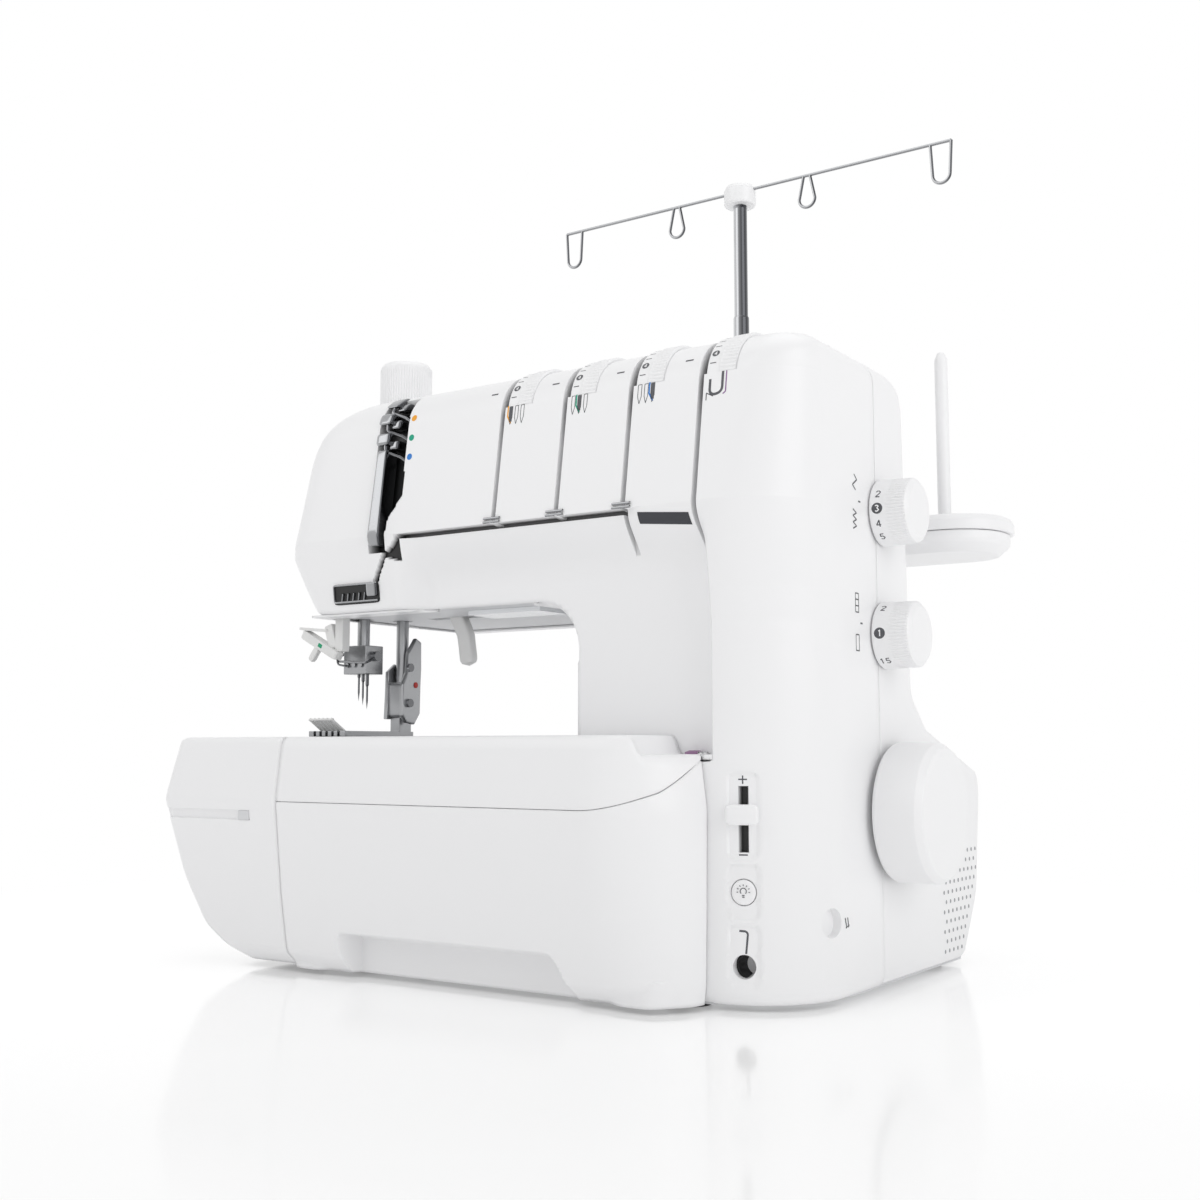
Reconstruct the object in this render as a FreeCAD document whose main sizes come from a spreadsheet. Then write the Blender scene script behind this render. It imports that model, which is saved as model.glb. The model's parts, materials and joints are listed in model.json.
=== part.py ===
import FreeCAD, Part
import math
import os
import re

import Sketcher
from FreeCAD import Placement, Rotation, Vector

# A three-needle cover-stitch sewing machine, modelled piece by piece in millimetres.
# +X is the handwheel side, +Y the back, +Z up; the origin is under the middle of the overall box.

doc = FreeCAD.newDocument("CoverStitchMachine")
sheet = doc.addObject("Spreadsheet::Sheet", "Sizes")

# Driving dimensions: alias and value
SIZES = {
    # casing
    "wall": 3, "joint_gap": 0.4, "run_fit": 0.05, "body_right": 166, "body_top": 306.5, "cover_low": 2.6,
    "top_right_round": 14, "head_left": -149, "head_top_left": -138, "head_knee": 219, "head_foot": -132,
    "head_round": 42, "arm_low": 187, "throat_round": 25, "column_left": 42, "column_front": -96,
    "column_shoulder": 172, "arm_front": -103, "crease": 226, "panel_tilt": 8, "panel_round": 26,
    "rear_top": 35, "rear_round": 25, "rear_waist": 41, "waist_high": 141, "bulge_start": 60,
    "bulge_start_high": 124, "bulge_end": 134, "bulge_end_high": 101, "bulge_rear": 137,
    "bulge_rear_high": 91, "bulge_low": 129, "bulge_low_high": 36, "bulge_toe": 106, "waist_round": 14,
    "bulge_round": 7, "plan_bend": 80, "plan_front": -106, "plan_side_front": -93, "corner_round": 45,
    "head_corner": 20, "seam": -10, "recess_left": -62, "recess_right": 121, "recess_face": -86,
    "recess_lip": -99.5,
    "recess_slope": 197,
    # bed, table and looper cover
    "bed_top": 120.5, "bed_edge": -133, "bed_bulge": -137, "bed_seam": 87.5, "bed_rear": 38,
    "bed_end": 120, "bed_corner": 40, "slab_end": 100, "ledge": 112, "table_joint": -111,
    "table_top_left": -195, "table_left": -203.3, "table_low_left": -191, "table_low_high": 48,
    "table_toe_left": -177, "table_toe_high": 21, "table_foot": -152, "table_low": 4, "table_round": 20,
    "bed_knee": -131.5,
    "bed_knee_high": 40, "bed_toe": -127, "bed_toe_high": 12, "toe_round": 6, "bed_foot": -117,
    "cover_back": -97,
    "cover_drop": 4, "sill_back": -111, "end_piece": 102, "notch_left": -74, "notch_right": 68,
    "notch_high": 24, "notch_face": -112,
    "hinge_y": -118, "hinge_z": 14, "hinge_pin": 2, "lug_round": 3.5, "groove_low": 77.5,
    "groove_high": 82.5,
    "groove_deep": 1.8, "groove_end": -131, "latch_long": 8,
    # free arm and stitch plate
    "looper_shaft": 3, "feed_travel": 3, "arm_end": -165, "arm_face": -92, "arm_back": -22,
    "free_arm_low": 60, "plate_thick": 3,
    "plate_right": -90, "arm_wall": 2.5,
    # base
    "base_low": 2.4, "base_thick": 4, "base_front": -100, "base_rear": 101, "foot_round": 10,
    "base_gap": 0.6, "screw_head": 3.6, "screw_thick": 1.2,
    # frame casting
    "plate_a": 62, "plate_b": 148, "plate_wide": 6, "frame_front": -76, "frame_back": 30, "frame_drop": 30.5,
    "web_low": 198, "web_thick": 6, "head_plate": -96, "shelf_low": 194, "shelf_high": 252,
    "shelf_thick": 8, "shelf_left": -130, "beam_low": 62, "beam_high": 96,
    # drive
    "main_y": 4, "main_z": 84, "main_round": 6, "main_left": -40, "upper_y": -67, "upper_z": 245,
    "upper_round": 5, "upper_right": 140, "crank_throw": 13, "crank_round": 16, "crank_thick": 6,
    "crank_pin": 2, "pulley_round": 20, "pulley_wide": 10, "pulley_at": 101, "belt_thick": 2,
    "drive_at": 126, "drive_round": 32, "motor_y": 90, "motor_z": 52, "motor_round": 29, "motor_left": 58,
    "motor_right": 120, "motor_pulley": 9, "bush_wall": 3, "wheel_round": 33.5, "wheel_in": 169,
    "wheel_out": 193, "wheel_bevel": 3,
    # sewing head
    "needle_x": -123.4, "needle_y": -61, "needle_pitch": 3.2, "needle_step": 2.4, "needle_tip": 138.5,
    "needle_round": 0.6, "clamp_low": 156, "clamp_high": 172, "bar_round": 3.5, "bar_top": 288,
    "press_x": -112, "press_y": -41, "press_low": 152, "press_top": 270, "foot_low": 121, "foot_thick": 3,
    "foot_left": -136, "foot_right": -109, "foot_front": -90, "foot_back": -34,
    "press_knob": 15, "press_knob_low": 292, "press_stem": 4, "press_stem_low": 277, "press_knob_top": 337,
    "lever_x": -81, "lever_z": 197,
    "lever_pin": 2.5, "lever_thick": 7, "threader_y": -79,
    "under_left": -127, "under_right": 14, "under_front": -84, "under_rear": 28,
    # tension row
    "groove_first": 1, "groove_pitch": 38.5, "groove_wide": 2.6, "groove_cut": 7, "dial_round": 26,
    "dial_wide": 16, "dial_gap": 0.5, "dial_shift": 1.5, "dial_low": 286, "spindle": 3, "disc_round": 11,
    "guide_left": -83, "guide_right": -66, "guide_low": 222, "guide_high": 297, "guide_thick": 9,
    # right side and control strip
    "knob_y": -4, "knob_z_high": 229, "knob_z_low": 169, "knob_round": 16.5, "knob_in": 166.8,
    "knob_out": 186,
    "knob_stem": 4, "strip_x": 136, "slide_z": 85.6, "slide_low": 69, "slide_high": 98, "slide_wide": 3.4,
    "grip_wide": 14, "grip_high": 9, "grip_out": 5, "light_z": 51.8, "light_round": 5.5, "light_out": 1.2,
    "knee_z": 19.7, "knee_bore": 5.3, "knee_deep": 19, "access_y": -63, "access_z": 37.5,
    "access_round": 6.5, "vent_round": 1, "vent_rows": 11, "vent_columns": 11, "vent_pitch_y": 6,
    "vent_pitch_z": 5, "vent_y": 68, "vent_z": 10, "inlet_left": 126, "inlet_right": 154, "inlet_low": 58,
    "inlet_high": 80, "inlet_out": 132.5, "inlet_deep": 20.5,
    # thread stand
    "stand_x": 46.9, "stand_y": 76, "stand_left": -109.5, "stand_right": 203.3, "stand_front": 46,
    "stand_back": 111, "stand_low": 216, "shell_high": 11, "rim_high": 8, "stand_round": 30,
    "pin_inner": 44, "pin_outer": 122, "pin_round": 3.5, "pin_long": 98, "tube_round": 4.65,
    "tube_wall": 0.55, "tube_long": 139, "rod_inside": 69, "rod_long": 142, "cap_round": 9.5, "cap_over": 5,
    "cap_high": 12, "wire": 0.9, "wire_up": 4, "wire_half": 129, "wire_shift": 2, "loop_wide": 12,
    "loop_high": 23, "clip_thick": 2.5,
    "drop_round": 5, "drop_high": 19, "bracket_wide": 40, "bracket_thick": 12, "tray_deep": 5,
    "tray_rim": 4,
}
for row, (alias, number) in enumerate(SIZES.items(), start=1):
    sheet.set(f"A{row}", alias)
    sheet.set(f"B{row}", str(number))
    sheet.setAlias(f"B{row}", alias)
doc.recompute()

NAMES = re.compile(r"\b(" + "|".join(SIZES) + r")\b")
TURNS = {"x": Rotation(Vector(0, 1, 0), 90), "y": Rotation(Vector(1, 0, 0), -90), "z": Rotation()}
ROLES = {"xy": "XY_Plane", "xz": "XZ_Plane", "yz": "YZ_Plane"}
pieces = {}


def cells(text):
    """A formula on size names, written as the sheet reads it."""
    return NAMES.sub(r"Sizes.\1", str(text))


def value(text):
    """The number that a formula gives now."""
    return float(sheet.evalExpression(cells(text)))


def bind(thing, prop, text):
    thing.setExpression(prop, cells(text))


def box(name, x, y, z):
    """A block between the low and high formulas of each axis."""
    solid = doc.addObject("Part::Box", name)
    for side, axis, (low, high) in zip(("Length", "Width", "Height"), "xyz", (x, y, z)):
        bind(solid, side, f"({high}) - ({low})")
        bind(solid, f"Placement.Base.{axis}", low)
    return solid


def rod(name, axis, radius, span, at):
    """A round bar along an axis; at gives its other two coordinates in order."""
    solid = doc.addObject("Part::Cylinder", name)
    solid.Placement = Placement(Vector(), TURNS[axis])
    bind(solid, "Radius", radius)
    bind(solid, "Height", f"({span[1]}) - ({span[0]})")
    bind(solid, f"Placement.Base.{axis}", span[0])
    for other, place in zip([letter for letter in "xyz" if letter != axis], at):
        bind(solid, f"Placement.Base.{other}", place)
    return solid


def draw(sketch, points):
    """A closed outline of straight lines with every corner held by its two formulas."""
    corners = [Vector(value(point[0]), value(point[1]), 0) for point in points]
    count = len(corners)
    for i in range(count):
        sketch.addGeometry(Part.LineSegment(corners[i], corners[(i + 1) % count]), False)
    for i in range(count):
        sketch.addConstraint(Sketcher.Constraint("Coincident", i, 2, (i + 1) % count, 1))
    for i, point in enumerate(points):
        for kind, text, number in zip(("DistanceX", "DistanceY"), point, (corners[i].x, corners[i].y)):
            mark = sketch.addConstraint(Sketcher.Constraint(kind, -1, 1, i, 1, number))
            sketch.setExpression(f"Constraints[{mark}]", cells(text))


def sketched(name, plane, points):
    """A body and the outline on one of its origin planes."""
    body = doc.addObject("PartDesign::Body", name)
    sketch = body.newObject("Sketcher::SketchObject", name + "_outline")
    support = next(f for f in body.Origin.OriginFeatures if f.Role == ROLES[plane])
    sketch.AttachmentSupport = [(support, "")]
    sketch.MapMode = "FlatFace"
    draw(sketch, points)
    return body, sketch


def prism(name, plane, points, span):
    """An outline padded across span; a corner's third entry is its rounding."""
    body, sketch = sketched(name, plane, points)
    low, high = span
    bind(sketch, "AttachmentOffset.Base.z", f"-({high})" if plane == "xz" else low)
    feature = body.newObject("PartDesign::Pad", name + "_pad")
    feature.Profile = sketch
    bind(feature, "Length", f"({high}) - ({low})")
    doc.recompute()
    axes = {"xy": (0, 1, 2), "xz": (0, 2, 1), "yz": (1, 2, 0)}[plane]
    for count, point in enumerate(p for p in points if len(p) > 2):
        spot = value(point[0]), value(point[1])
        found = []
        for number, edge in enumerate(feature.Shape.Edges, start=1):
            ends = [vertex.Point for vertex in edge.Vertexes]
            near = all(abs(end[axes[i]] - spot[i]) < 1e-4 for end in ends for i in (0, 1))
            if near and len(ends) == 2:
                found.append(f"Edge{number}")
        rounding = body.newObject("PartDesign::Fillet", f"{name}_round{count}")
        rounding.Base = (feature, found)
        bind(rounding, "Radius", point[2])
        doc.recompute()
        feature = rounding
    body.Tip = feature
    return body


def turned(name, axis, points, at):
    """A profile of radius and height turned about an axis through at."""
    body, sketch = sketched(name, "xz", points)
    feature = body.newObject("PartDesign::Revolution", name + "_turn")
    feature.Profile = sketch
    feature.ReferenceAxis = (sketch, ["V_Axis"])
    feature.Angle = 360
    body.Placement = Placement(Vector(), TURNS[axis])
    for letter, place in zip("xyz", at):
        bind(body, f"Placement.Base.{letter}", place)
    return body


def fuse(name, solids):
    joined = doc.addObject("Part::MultiFuse", name)
    joined.Shapes = solids
    joined.Refine = True
    return joined


def cut(name, base, tools):
    """The base with every tool taken out of it."""
    result = doc.addObject("Part::Cut", name)
    result.Base = base
    result.Tool = tools[0] if len(tools) == 1 else fuse(name + "_tools", tools)
    return result


def common(name, solids):
    shared = doc.addObject("Part::MultiCommon", name)
    shared.Shapes = solids
    return shared


def group(name, solids):
    """Separate like solids that share one node."""
    gathered = doc.addObject("Part::Compound", name)
    gathered.Links = solids
    return gathered


def ring(name, axis, outer, inner, span, at):
    return cut(name, rod(name + "_out", axis, outer, span, at), [rod(name + "_in", axis, inner, span, at)])


def keep(node, solid):
    """Name a finished sub-part."""
    solid.Label = node
    pieces[node] = solid
    return solid


# Casing envelope: front view, side view and plan, each as an outline that can be drawn a wall further in
PANEL_TOP = "(arm_front + (body_top - crease) * tan(panel_tilt * 1deg))"
LOW = "(cover_low - 4)"


def envelope(name, inset, low):
    front = prism(name + "_front", "xz", [
        (f"body_right - {inset}", low),
        (f"body_right - {inset}", f"body_top - {inset}", f"top_right_round - {inset}"),
        (f"head_top_left + {inset}", f"body_top - {inset}", f"head_round - {inset}"),
        (f"head_left + {inset}", "head_knee"),
        (f"head_foot + {inset}", f"arm_low + {inset}"),
        (f"column_left + {inset}", f"arm_low + {inset}", f"throat_round + {inset}"),
        (f"column_left + {inset}", low)], ("plan_front - 20", "bulge_rear + 20"))
    side = prism(name + "_side", "yz", [
        (f"column_front + {inset}", low),
        (f"column_front + {inset}", "column_shoulder"),
        (f"arm_front + {inset}", "crease"),
        (f"{PANEL_TOP} + {inset}", f"body_top - {inset}", f"panel_round - {inset}"),
        (f"rear_top - {inset}", f"body_top - {inset}", f"rear_round - {inset}"),
        (f"rear_waist - {inset}", "waist_high", f"waist_round + {inset}"),
        (f"bulge_start - {inset}", f"bulge_start_high - {inset}"),
        (f"bulge_end - {inset}", f"bulge_end_high - {inset}", f"bulge_round - {inset}"),
        (f"bulge_rear - {inset}", "bulge_rear_high"),
        (f"bulge_low - {inset}", "bulge_low_high"),
        (f"bulge_toe - {inset}", low)], ("head_left - 20", "body_right + 20"))
    plan = prism(name + "_plan", "xy", [
        (f"head_left + {inset}", f"plan_front + {inset}", f"head_corner - {inset}"),
        ("plan_bend", f"plan_front + {inset}"),
        (f"body_right - {inset}", f"plan_side_front + {inset}", f"corner_round - {inset}"),
        (f"body_right - {inset}", "bulge_rear + 20"),
        ("column_left - 10", "bulge_rear + 20"),
        ("column_left - 10", f"rear_waist - {inset}"),
        (f"head_left + {inset}", f"rear_waist - {inset}", f"head_corner - {inset}")],
        (f"{LOW} - 10", "body_top + 20"))
    return common(name, [front, side, plan])


def recess(name, inset):
    """The set-back front of the lower arm and column, under the crease."""
    return prism(name, "yz", [
        ("plan_front - 20", f"crease + {inset}"), (f"recess_lip + {inset}", f"crease + {inset}"),
        (f"recess_face + {inset}", "recess_slope"), (f"recess_face + {inset}", f"{LOW} - 20"),
        ("plan_front - 20", f"{LOW} - 20")], (f"recess_left - {inset}", f"recess_right + {inset}"))


casing = cut("casing", cut("casing_full", envelope("outer", "0", "cover_low"), [recess("recess_out", "0")]),
             [cut("hollow", envelope("inner", "wall", LOW), [recess("recess_in", "wall")])])
UNDER_X = ("under_left", "under_right")
UNDER_Y = ("under_front", "under_rear")
under_hole = box("under_hole", UNDER_X, UNDER_Y, ("arm_low - 5", "arm_low + wall + 1"))
FAR = ("head_left - 30", "body_right + 30")
HIGH = (f"{LOW} - 10", "body_top + 30")
front_half = common("front_half", [casing, box("front_side", FAR, ("plan_front - 30", "seam"), HIGH)])
rear_half = common("rear_half", [casing, box("rear_side", FAR, ("seam", "bulge_rear + 30"), HIGH)])

# Tension row places: thread grooves, dials beside them, one common dial axis in the rounded front edge
DIAL_Y = ("(arm_front + (body_top - panel_round - crease) * tan(panel_tilt * 1deg)"
          " + panel_round / cos(panel_tilt * 1deg) + dial_shift)")
DIAL_Z = "(body_top - panel_round + dial_shift)"


def groove_x(i):
    return f"(groove_first + {i} * groove_pitch)"


def dial_x(i):
    return f"({groove_x(i)} + groove_wide + dial_gap)"


front_tools = [under_hole]
for i in range(4):
    front_tools.append(prism(f"groove_{i}", "yz", [
        ("plan_front - 10", "recess_slope + 8"), ("recess_face - wall - 2", "recess_slope + 8"),
        ("arm_front + groove_cut", "crease"), (f"{PANEL_TOP} + groove_cut", "body_top - 12"),
        (DIAL_Y, "body_top + 10"), ("plan_front - 10", "body_top + 10")],
        (groove_x(i), f"{groove_x(i)} + groove_wide")))
    span = (f"{dial_x(i)} - dial_gap", f"{dial_x(i)} + dial_wide + dial_gap")
    front_tools.append(box(f"dial_slot_{i}", span, ("plan_front - 10", f"{DIAL_Y} + dial_round * 0.8"),
                           ("dial_low", "body_top + 20")))
    front_tools.append(rod(f"dial_pocket_{i}", "x", "dial_round + dial_gap", span, (DIAL_Y, DIAL_Z)))
GUIDE_Y = "(arm_front + (guide_low - crease) * tan(panel_tilt * 1deg))"
GUIDE_TOP_Y = "(arm_front + (guide_high - crease) * tan(panel_tilt * 1deg))"


def guide_block(name, grow, front, back):
    """A block leaning with the front panel, front and back measured from the panel's face."""
    return prism(name, "yz", [
        (f"{GUIDE_Y} + {front}", f"guide_low - {grow}"), (f"{GUIDE_Y} + {back}", f"guide_low - {grow}"),
        (f"{GUIDE_TOP_Y} + {back}", f"guide_high + {grow}"),
        (f"{GUIDE_TOP_Y} + {front}", f"guide_high + {grow}")],
        (f"guide_left - {grow}", f"guide_right + {grow}"))


DOOR_X = ("column_left - 1", "column_left + wall + 1")
DOOR_Z = (LOW, "ledge - 4")
front_tools += [
    guide_block("guide_hole", "joint_gap", "-20", "guide_thick + 30"),
    rod("press_knob_hole", "z", "press_knob + joint_gap", ("body_top - 40", "body_top + 20"),
        ("press_x", "press_y")),
    box("slide_slot", ("strip_x - slide_wide / 2 - joint_gap", "strip_x + slide_wide / 2 + joint_gap"),
        ("plan_front - 20", "column_front + 20"), ("slide_low", "slide_high")),
    rod("light_hole", "y", "light_round + joint_gap", ("plan_front - 20", "column_front + 20"),
        ("strip_x", "light_z")),
    rod("knee_hole", "y", "knee_bore", ("plan_front - 20", "column_front + 20"), ("strip_x", "knee_z")),
    rod("access_hole", "x", "access_round", ("body_right - 20", "body_right + 20"),
    ("access_y", "access_z")),
    box("inner_door", DOOR_X, ("recess_face - 2", "seam + 1"), DOOR_Z),
    box("sill_gap", ("column_left - 5", "recess_right + wall - 0.01"),
    ("recess_face - 2", "recess_face + wall + 2"),
        (LOW, "base_low + base_thick + base_gap")),
]
front_shell = cut("front_shell", front_half, front_tools)
ARM_HIGH = ("arm_low", "body_top + 30")
COLUMN_HIGH = (f"{LOW} - 10", "arm_low")
for node, high in (("front_cover", ARM_HIGH), ("column_cover", COLUMN_HIGH)):
    keep(node, common(node, [front_shell, box(f"{node}_part", FAR, ("plan_front - 30", "seam"), high)]))

# Rear cover with the shaft holes, the stand bracket opening and the field of round vents
vents = doc.addObject("Part::Feature", "vent_field")
holes = []
for line in range(int(value("vent_rows"))):
    shift = 0.5 * (line % 2)
    for step in range(int(value("vent_columns"))):
        spot = Vector(value("body_right - wall - 2"),
            value("vent_y") + (step + shift) * value("vent_pitch_y"),
                      value("vent_z") + line * value("vent_pitch_z"))
        slope = value("bulge_toe") + (value("bulge_low") - value("bulge_toe")) * (
            (spot.z - value("cover_low")) / (value("bulge_low_high") - value("cover_low")))
        if spot.y < min(slope, value("bulge_low")) - value("wall + 2 * vent_round"):
            holes.append(Part.makeCylinder(value("vent_round"), value("wall + 8"), spot, Vector(1, 0, 0)))
vents.Shape = Part.makeCompound(holes)
rear_tools = [
    box("under_hole_rear", UNDER_X, UNDER_Y, ("arm_low - 5", "arm_low + wall + 1")),
    rod("wheel_hole", "x", "main_round + 3", ("body_right - 20", "body_right + 20"), ("main_y", "main_z")),
    rod("stem_hole_high", "x", "knob_stem + joint_gap", ("body_right - 20", "body_right + 20"),
        ("knob_y", "knob_z_high")),
    rod("stem_hole_low", "x", "knob_stem + joint_gap", ("body_right - 20", "body_right + 20"),
        ("knob_y", "knob_z_low")),
    box("bracket_hole", ("stand_x - bracket_wide / 2 - joint_gap",
    "stand_x + bracket_wide / 2 + joint_gap"),
        ("frame_back - 1", "rear_waist + 5"),
        ("stand_low - bracket_thick - joint_gap", "stand_low + joint_gap")),
    box("inlet_hole", ("inlet_left - joint_gap", "inlet_right + joint_gap"),
        ("bulge_low - 20", "bulge_rear + 10"), ("inlet_low - joint_gap", "inlet_high + joint_gap")),
    box("inner_door_rear", DOOR_X, ("seam - 1", "bed_rear - wall"), DOOR_Z),
]
keep("rear_cover", cut("rear_cover", cut("rear_plain", rear_half, rear_tools), [vents]))

# Base plate, its feet and screws
BASE_TOP = "(base_low + base_thick)"
base_flat = prism("base_flat", "xy", [
    ("table_joint + wall + base_gap", "base_front"), ("end_piece - base_gap", "base_front"),
    ("end_piece - base_gap", "cover_back + 4"), ("recess_right - base_gap", "cover_back + 4"),
    ("recess_right - base_gap", "recess_face + wall + 3"), ("strip_x", "recess_face + wall + 3"),
    ("body_right - 12", "plan_side_front + 32"), ("body_right - wall - base_gap", "plan_side_front + 55"),
    ("body_right - wall - base_gap", "base_rear"), ("column_left + wall + base_gap", "base_rear"),
    ("column_left + wall + base_gap", "bed_rear - wall - base_gap"),
    ("table_joint + wall + base_gap", "bed_rear - wall - base_gap")], ("base_low", BASE_TOP))
LUG_LEFT = ("notch_left - 30", "notch_left - 25")
LUG_RIGHT = ("notch_right + 26", "notch_right + 31")
lugs = []
for i, span in enumerate((LUG_LEFT, LUG_RIGHT)):
    lugs.append(box(f"lug_arm_{i}", span, ("hinge_y - lug_round", "base_front + lug_round * 2"),
                    ("hinge_z - lug_round", "hinge_z + lug_round")))
    lugs.append(box(f"lug_post_{i}", span, ("base_front", "base_front + lug_round * 2"),
                    ("base_low", "hinge_z + lug_round")))
PIN_LEFT = (LUG_LEFT[0], "notch_left - 14")
PIN_RIGHT = ("notch_right + 14", LUG_RIGHT[1])
pin_holes = [rod(f"lug_bore_{i}", "x", "hinge_pin", span, ("hinge_y", "hinge_z"))
             for i, span in enumerate((PIN_LEFT, PIN_RIGHT))]
keep("base_plate", cut("base_plate", fuse("base_body", [base_flat] + lugs), pin_holes))
keep("cover_hinge_pins", group("cover_hinge_pins", [
    rod(f"hinge_pin_{i}", "x", "hinge_pin", span, ("hinge_y", "hinge_z"))
    for i, span in enumerate((PIN_LEFT, PIN_RIGHT))]))
FEET = [("table_joint + 20", "base_front + 16"), ("table_joint + 20", "bed_rear - 20"),
        ("recess_right - 18", "base_front + 16"), ("column_left + 30", "base_rear - 14"),
        ("body_right - 20", "base_rear - 14")]
keep("rubber_feet", group("rubber_feet", [
    rod(f"foot_{i}", "z", "foot_round", ("0", "base_low"), spot) for i, spot in enumerate(FEET)]))
SCREWS = [("table_joint + 60", "base_front + 12"), ("table_joint + 60", "bed_rear - 18"),
          ("column_left + 70", "base_rear - 60"), ("column_left + 70", "base_rear - 14")]
screws = [rod(f"base_screw_{i}", "z", "screw_head", ("base_low - screw_thick", "base_low"), spot)
          for i, spot in enumerate(SCREWS)]
PLATE_SCREWS = [("plate_right - 10", "arm_face + 10"), ("plate_right - 10", "arm_back - 10")]
screws += [rod(f"plate_screw_{i}", "z", "screw_head - 1", ("bed_top", "bed_top + screw_thick / 2"), spot)
           for i, spot in enumerate(PLATE_SCREWS)]
keep("housing_screws", group("housing_screws", screws))

# Bed: rear and left lower walls, top with its front lip, free arm and stitch plate
walls = prism("bed_walls", "xy", [
    ("table_joint", "base_front"), ("table_joint + wall", "base_front"),
    ("table_joint + wall", "bed_rear - wall"), ("column_left - joint_gap", "bed_rear - wall"),
    ("column_left - joint_gap", "bed_rear"), ("table_joint", "bed_rear")],
    ("cover_low", "bed_seam - joint_gap"))
keep("bed_housing", cut("bed_housing", walls, [
    box("arm_opening", ("table_joint - 5", "table_joint + 10"),
    ("arm_face - joint_gap", "arm_back + joint_gap"),
        ("free_arm_low - joint_gap", "bed_top"))]))


def bed_block(name, inset, low):
    """The bed's top block with a rounded front right corner and a lowered ledge by the column."""
    block = prism(name + "_block", "yz", [
        (f"bed_edge + {inset}", f"bed_top - {inset}"), (f"bed_bulge + {inset}", low),
        (f"bed_rear - {inset}", low), (f"bed_rear - {inset}", f"bed_top - {inset}")],
        (f"table_joint + {inset}", f"bed_end - {inset}"))
    corner = prism(name + "_corner", "xy", [
        ("table_joint - 50", f"bed_bulge + {inset}"),
        (f"bed_end - {inset}", f"bed_bulge + {inset}", f"bed_corner - {inset}"),
        (f"bed_end - {inset}", "bed_rear + 50"), ("table_joint - 50", "bed_rear + 50")],
        ("bed_seam - 50", "bed_top + 20"))
    step = box(name + "_step", (f"slab_end - {inset}", "bed_end + 20"), ("bed_bulge - 20", "bed_rear + 20"),
               (f"ledge - {inset}", "bed_top + 20"))
    return cut(name, common(name + "_round", [block, corner]), [step])


keep("bed_cover", cut("bed_cover", bed_block("bed_out", "0", "bed_seam"), [
    bed_block("bed_in", "wall", "bed_seam - 10"),
    box("column_space", ("column_left - joint_gap", "bed_end + 30"),
    ("recess_face - joint_gap", "bed_rear + 30"),
        ("bed_seam - 20", "bed_top + 30")),
    box("plate_space", ("table_joint - 10", "plate_right + joint_gap"),
        ("arm_face - joint_gap", "arm_back + joint_gap"), ("bed_seam - 20", "bed_top + 30"))]))

ARM_TOP = "(bed_top - plate_thick)"
arm_block = box("arm_block", ("arm_end", "plate_right"), ("arm_face", "arm_back"),
    ("free_arm_low", ARM_TOP))
arm_room = box("arm_room", ("arm_end + arm_wall", "plate_right + 5"),
    ("arm_face + arm_wall", "arm_back - arm_wall"),
               ("free_arm_low + arm_wall", "bed_top"))
LOOPER_X = "(needle_x + 23.4)"
LOOPER_Z = "(free_arm_low + 14)"
keep("free_arm", cut("free_arm", arm_block, [
    arm_room, rod("looper_bore", "y", "looper_shaft + run_fit", ("arm_back - 10", "arm_back + 10"),
                  (LOOPER_X, LOOPER_Z))]))
FEED_LEFT = ("needle_x - 12", "needle_x - 8.5")
FEED_RIGHT = ("needle_x + 8", "needle_x + 11.5")
plate_cuts = [box("needle_slot", ("needle_x - 6", "needle_x + 6"), ("needle_y - 2", "needle_y + 2"),
                  ("bed_top - 20", "bed_top + 20"))]
for i, (low, high) in enumerate((FEED_LEFT, FEED_RIGHT)):
    plate_cuts.append(box(f"feed_slot_{i}", (f"{low} - joint_gap", f"{high} + joint_gap"),
                          ("needle_y - 17 - feed_travel - joint_gap", "needle_y + 17 + joint_gap"),
                          ("bed_top - 20", "bed_top + 20")))
keep("needle_plate", cut("needle_plate",
    box("plate_flat", ("arm_end", "plate_right"), ("arm_face", "arm_back"),
                                             (ARM_TOP, "bed_top")), plate_cuts))

# Looper cover that swings forward on two pins, and the slide-on table round the free arm
COVER_TOP = "(bed_seam - joint_gap)"


def cover_block(name, inset, back):
    """The front cover under the bed's lip: a profile that tucks under, with a rounded right end."""
    block = prism(name + "_block", "yz", [
        (f"bed_bulge + {inset}", f"{COVER_TOP} - {inset}"), (f"bed_knee + {inset}", "bed_knee_high"),
        (f"bed_toe + {inset}", "bed_toe_high", "toe_round"),
        (f"bed_foot + {inset}", f"cover_low + {inset}"),
        (f"cover_back + {back}", f"cover_low + {inset}"),
        (f"cover_back + {back}", f"{COVER_TOP} - cover_drop"),
        (f"hinge_y + {back}", f"{COVER_TOP} - {inset}")],
        (f"table_joint + joint_gap + {inset}", f"bed_end - {inset}"))
    corner = prism(name + "_corner", "xy", [
        ("table_joint - 50", f"bed_bulge + {inset}"),
        (f"bed_end - {inset}", f"bed_bulge + {inset}", f"bed_corner - {inset}"),
        (f"bed_end - {inset}", "bed_rear + 50"), ("table_joint - 50", "bed_rear + 50")],
        ("cover_low - 50", "bed_top + 20"))
    notch = box(name + "_notch", (f"notch_left - {inset}", f"notch_right + {inset}"),
                ("bed_bulge - 30", f"notch_face + {inset}"), ("cover_low - 30", f"notch_high + {inset}"))
    return cut(name, common(name + "_round", [block, corner]), [notch])


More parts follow.
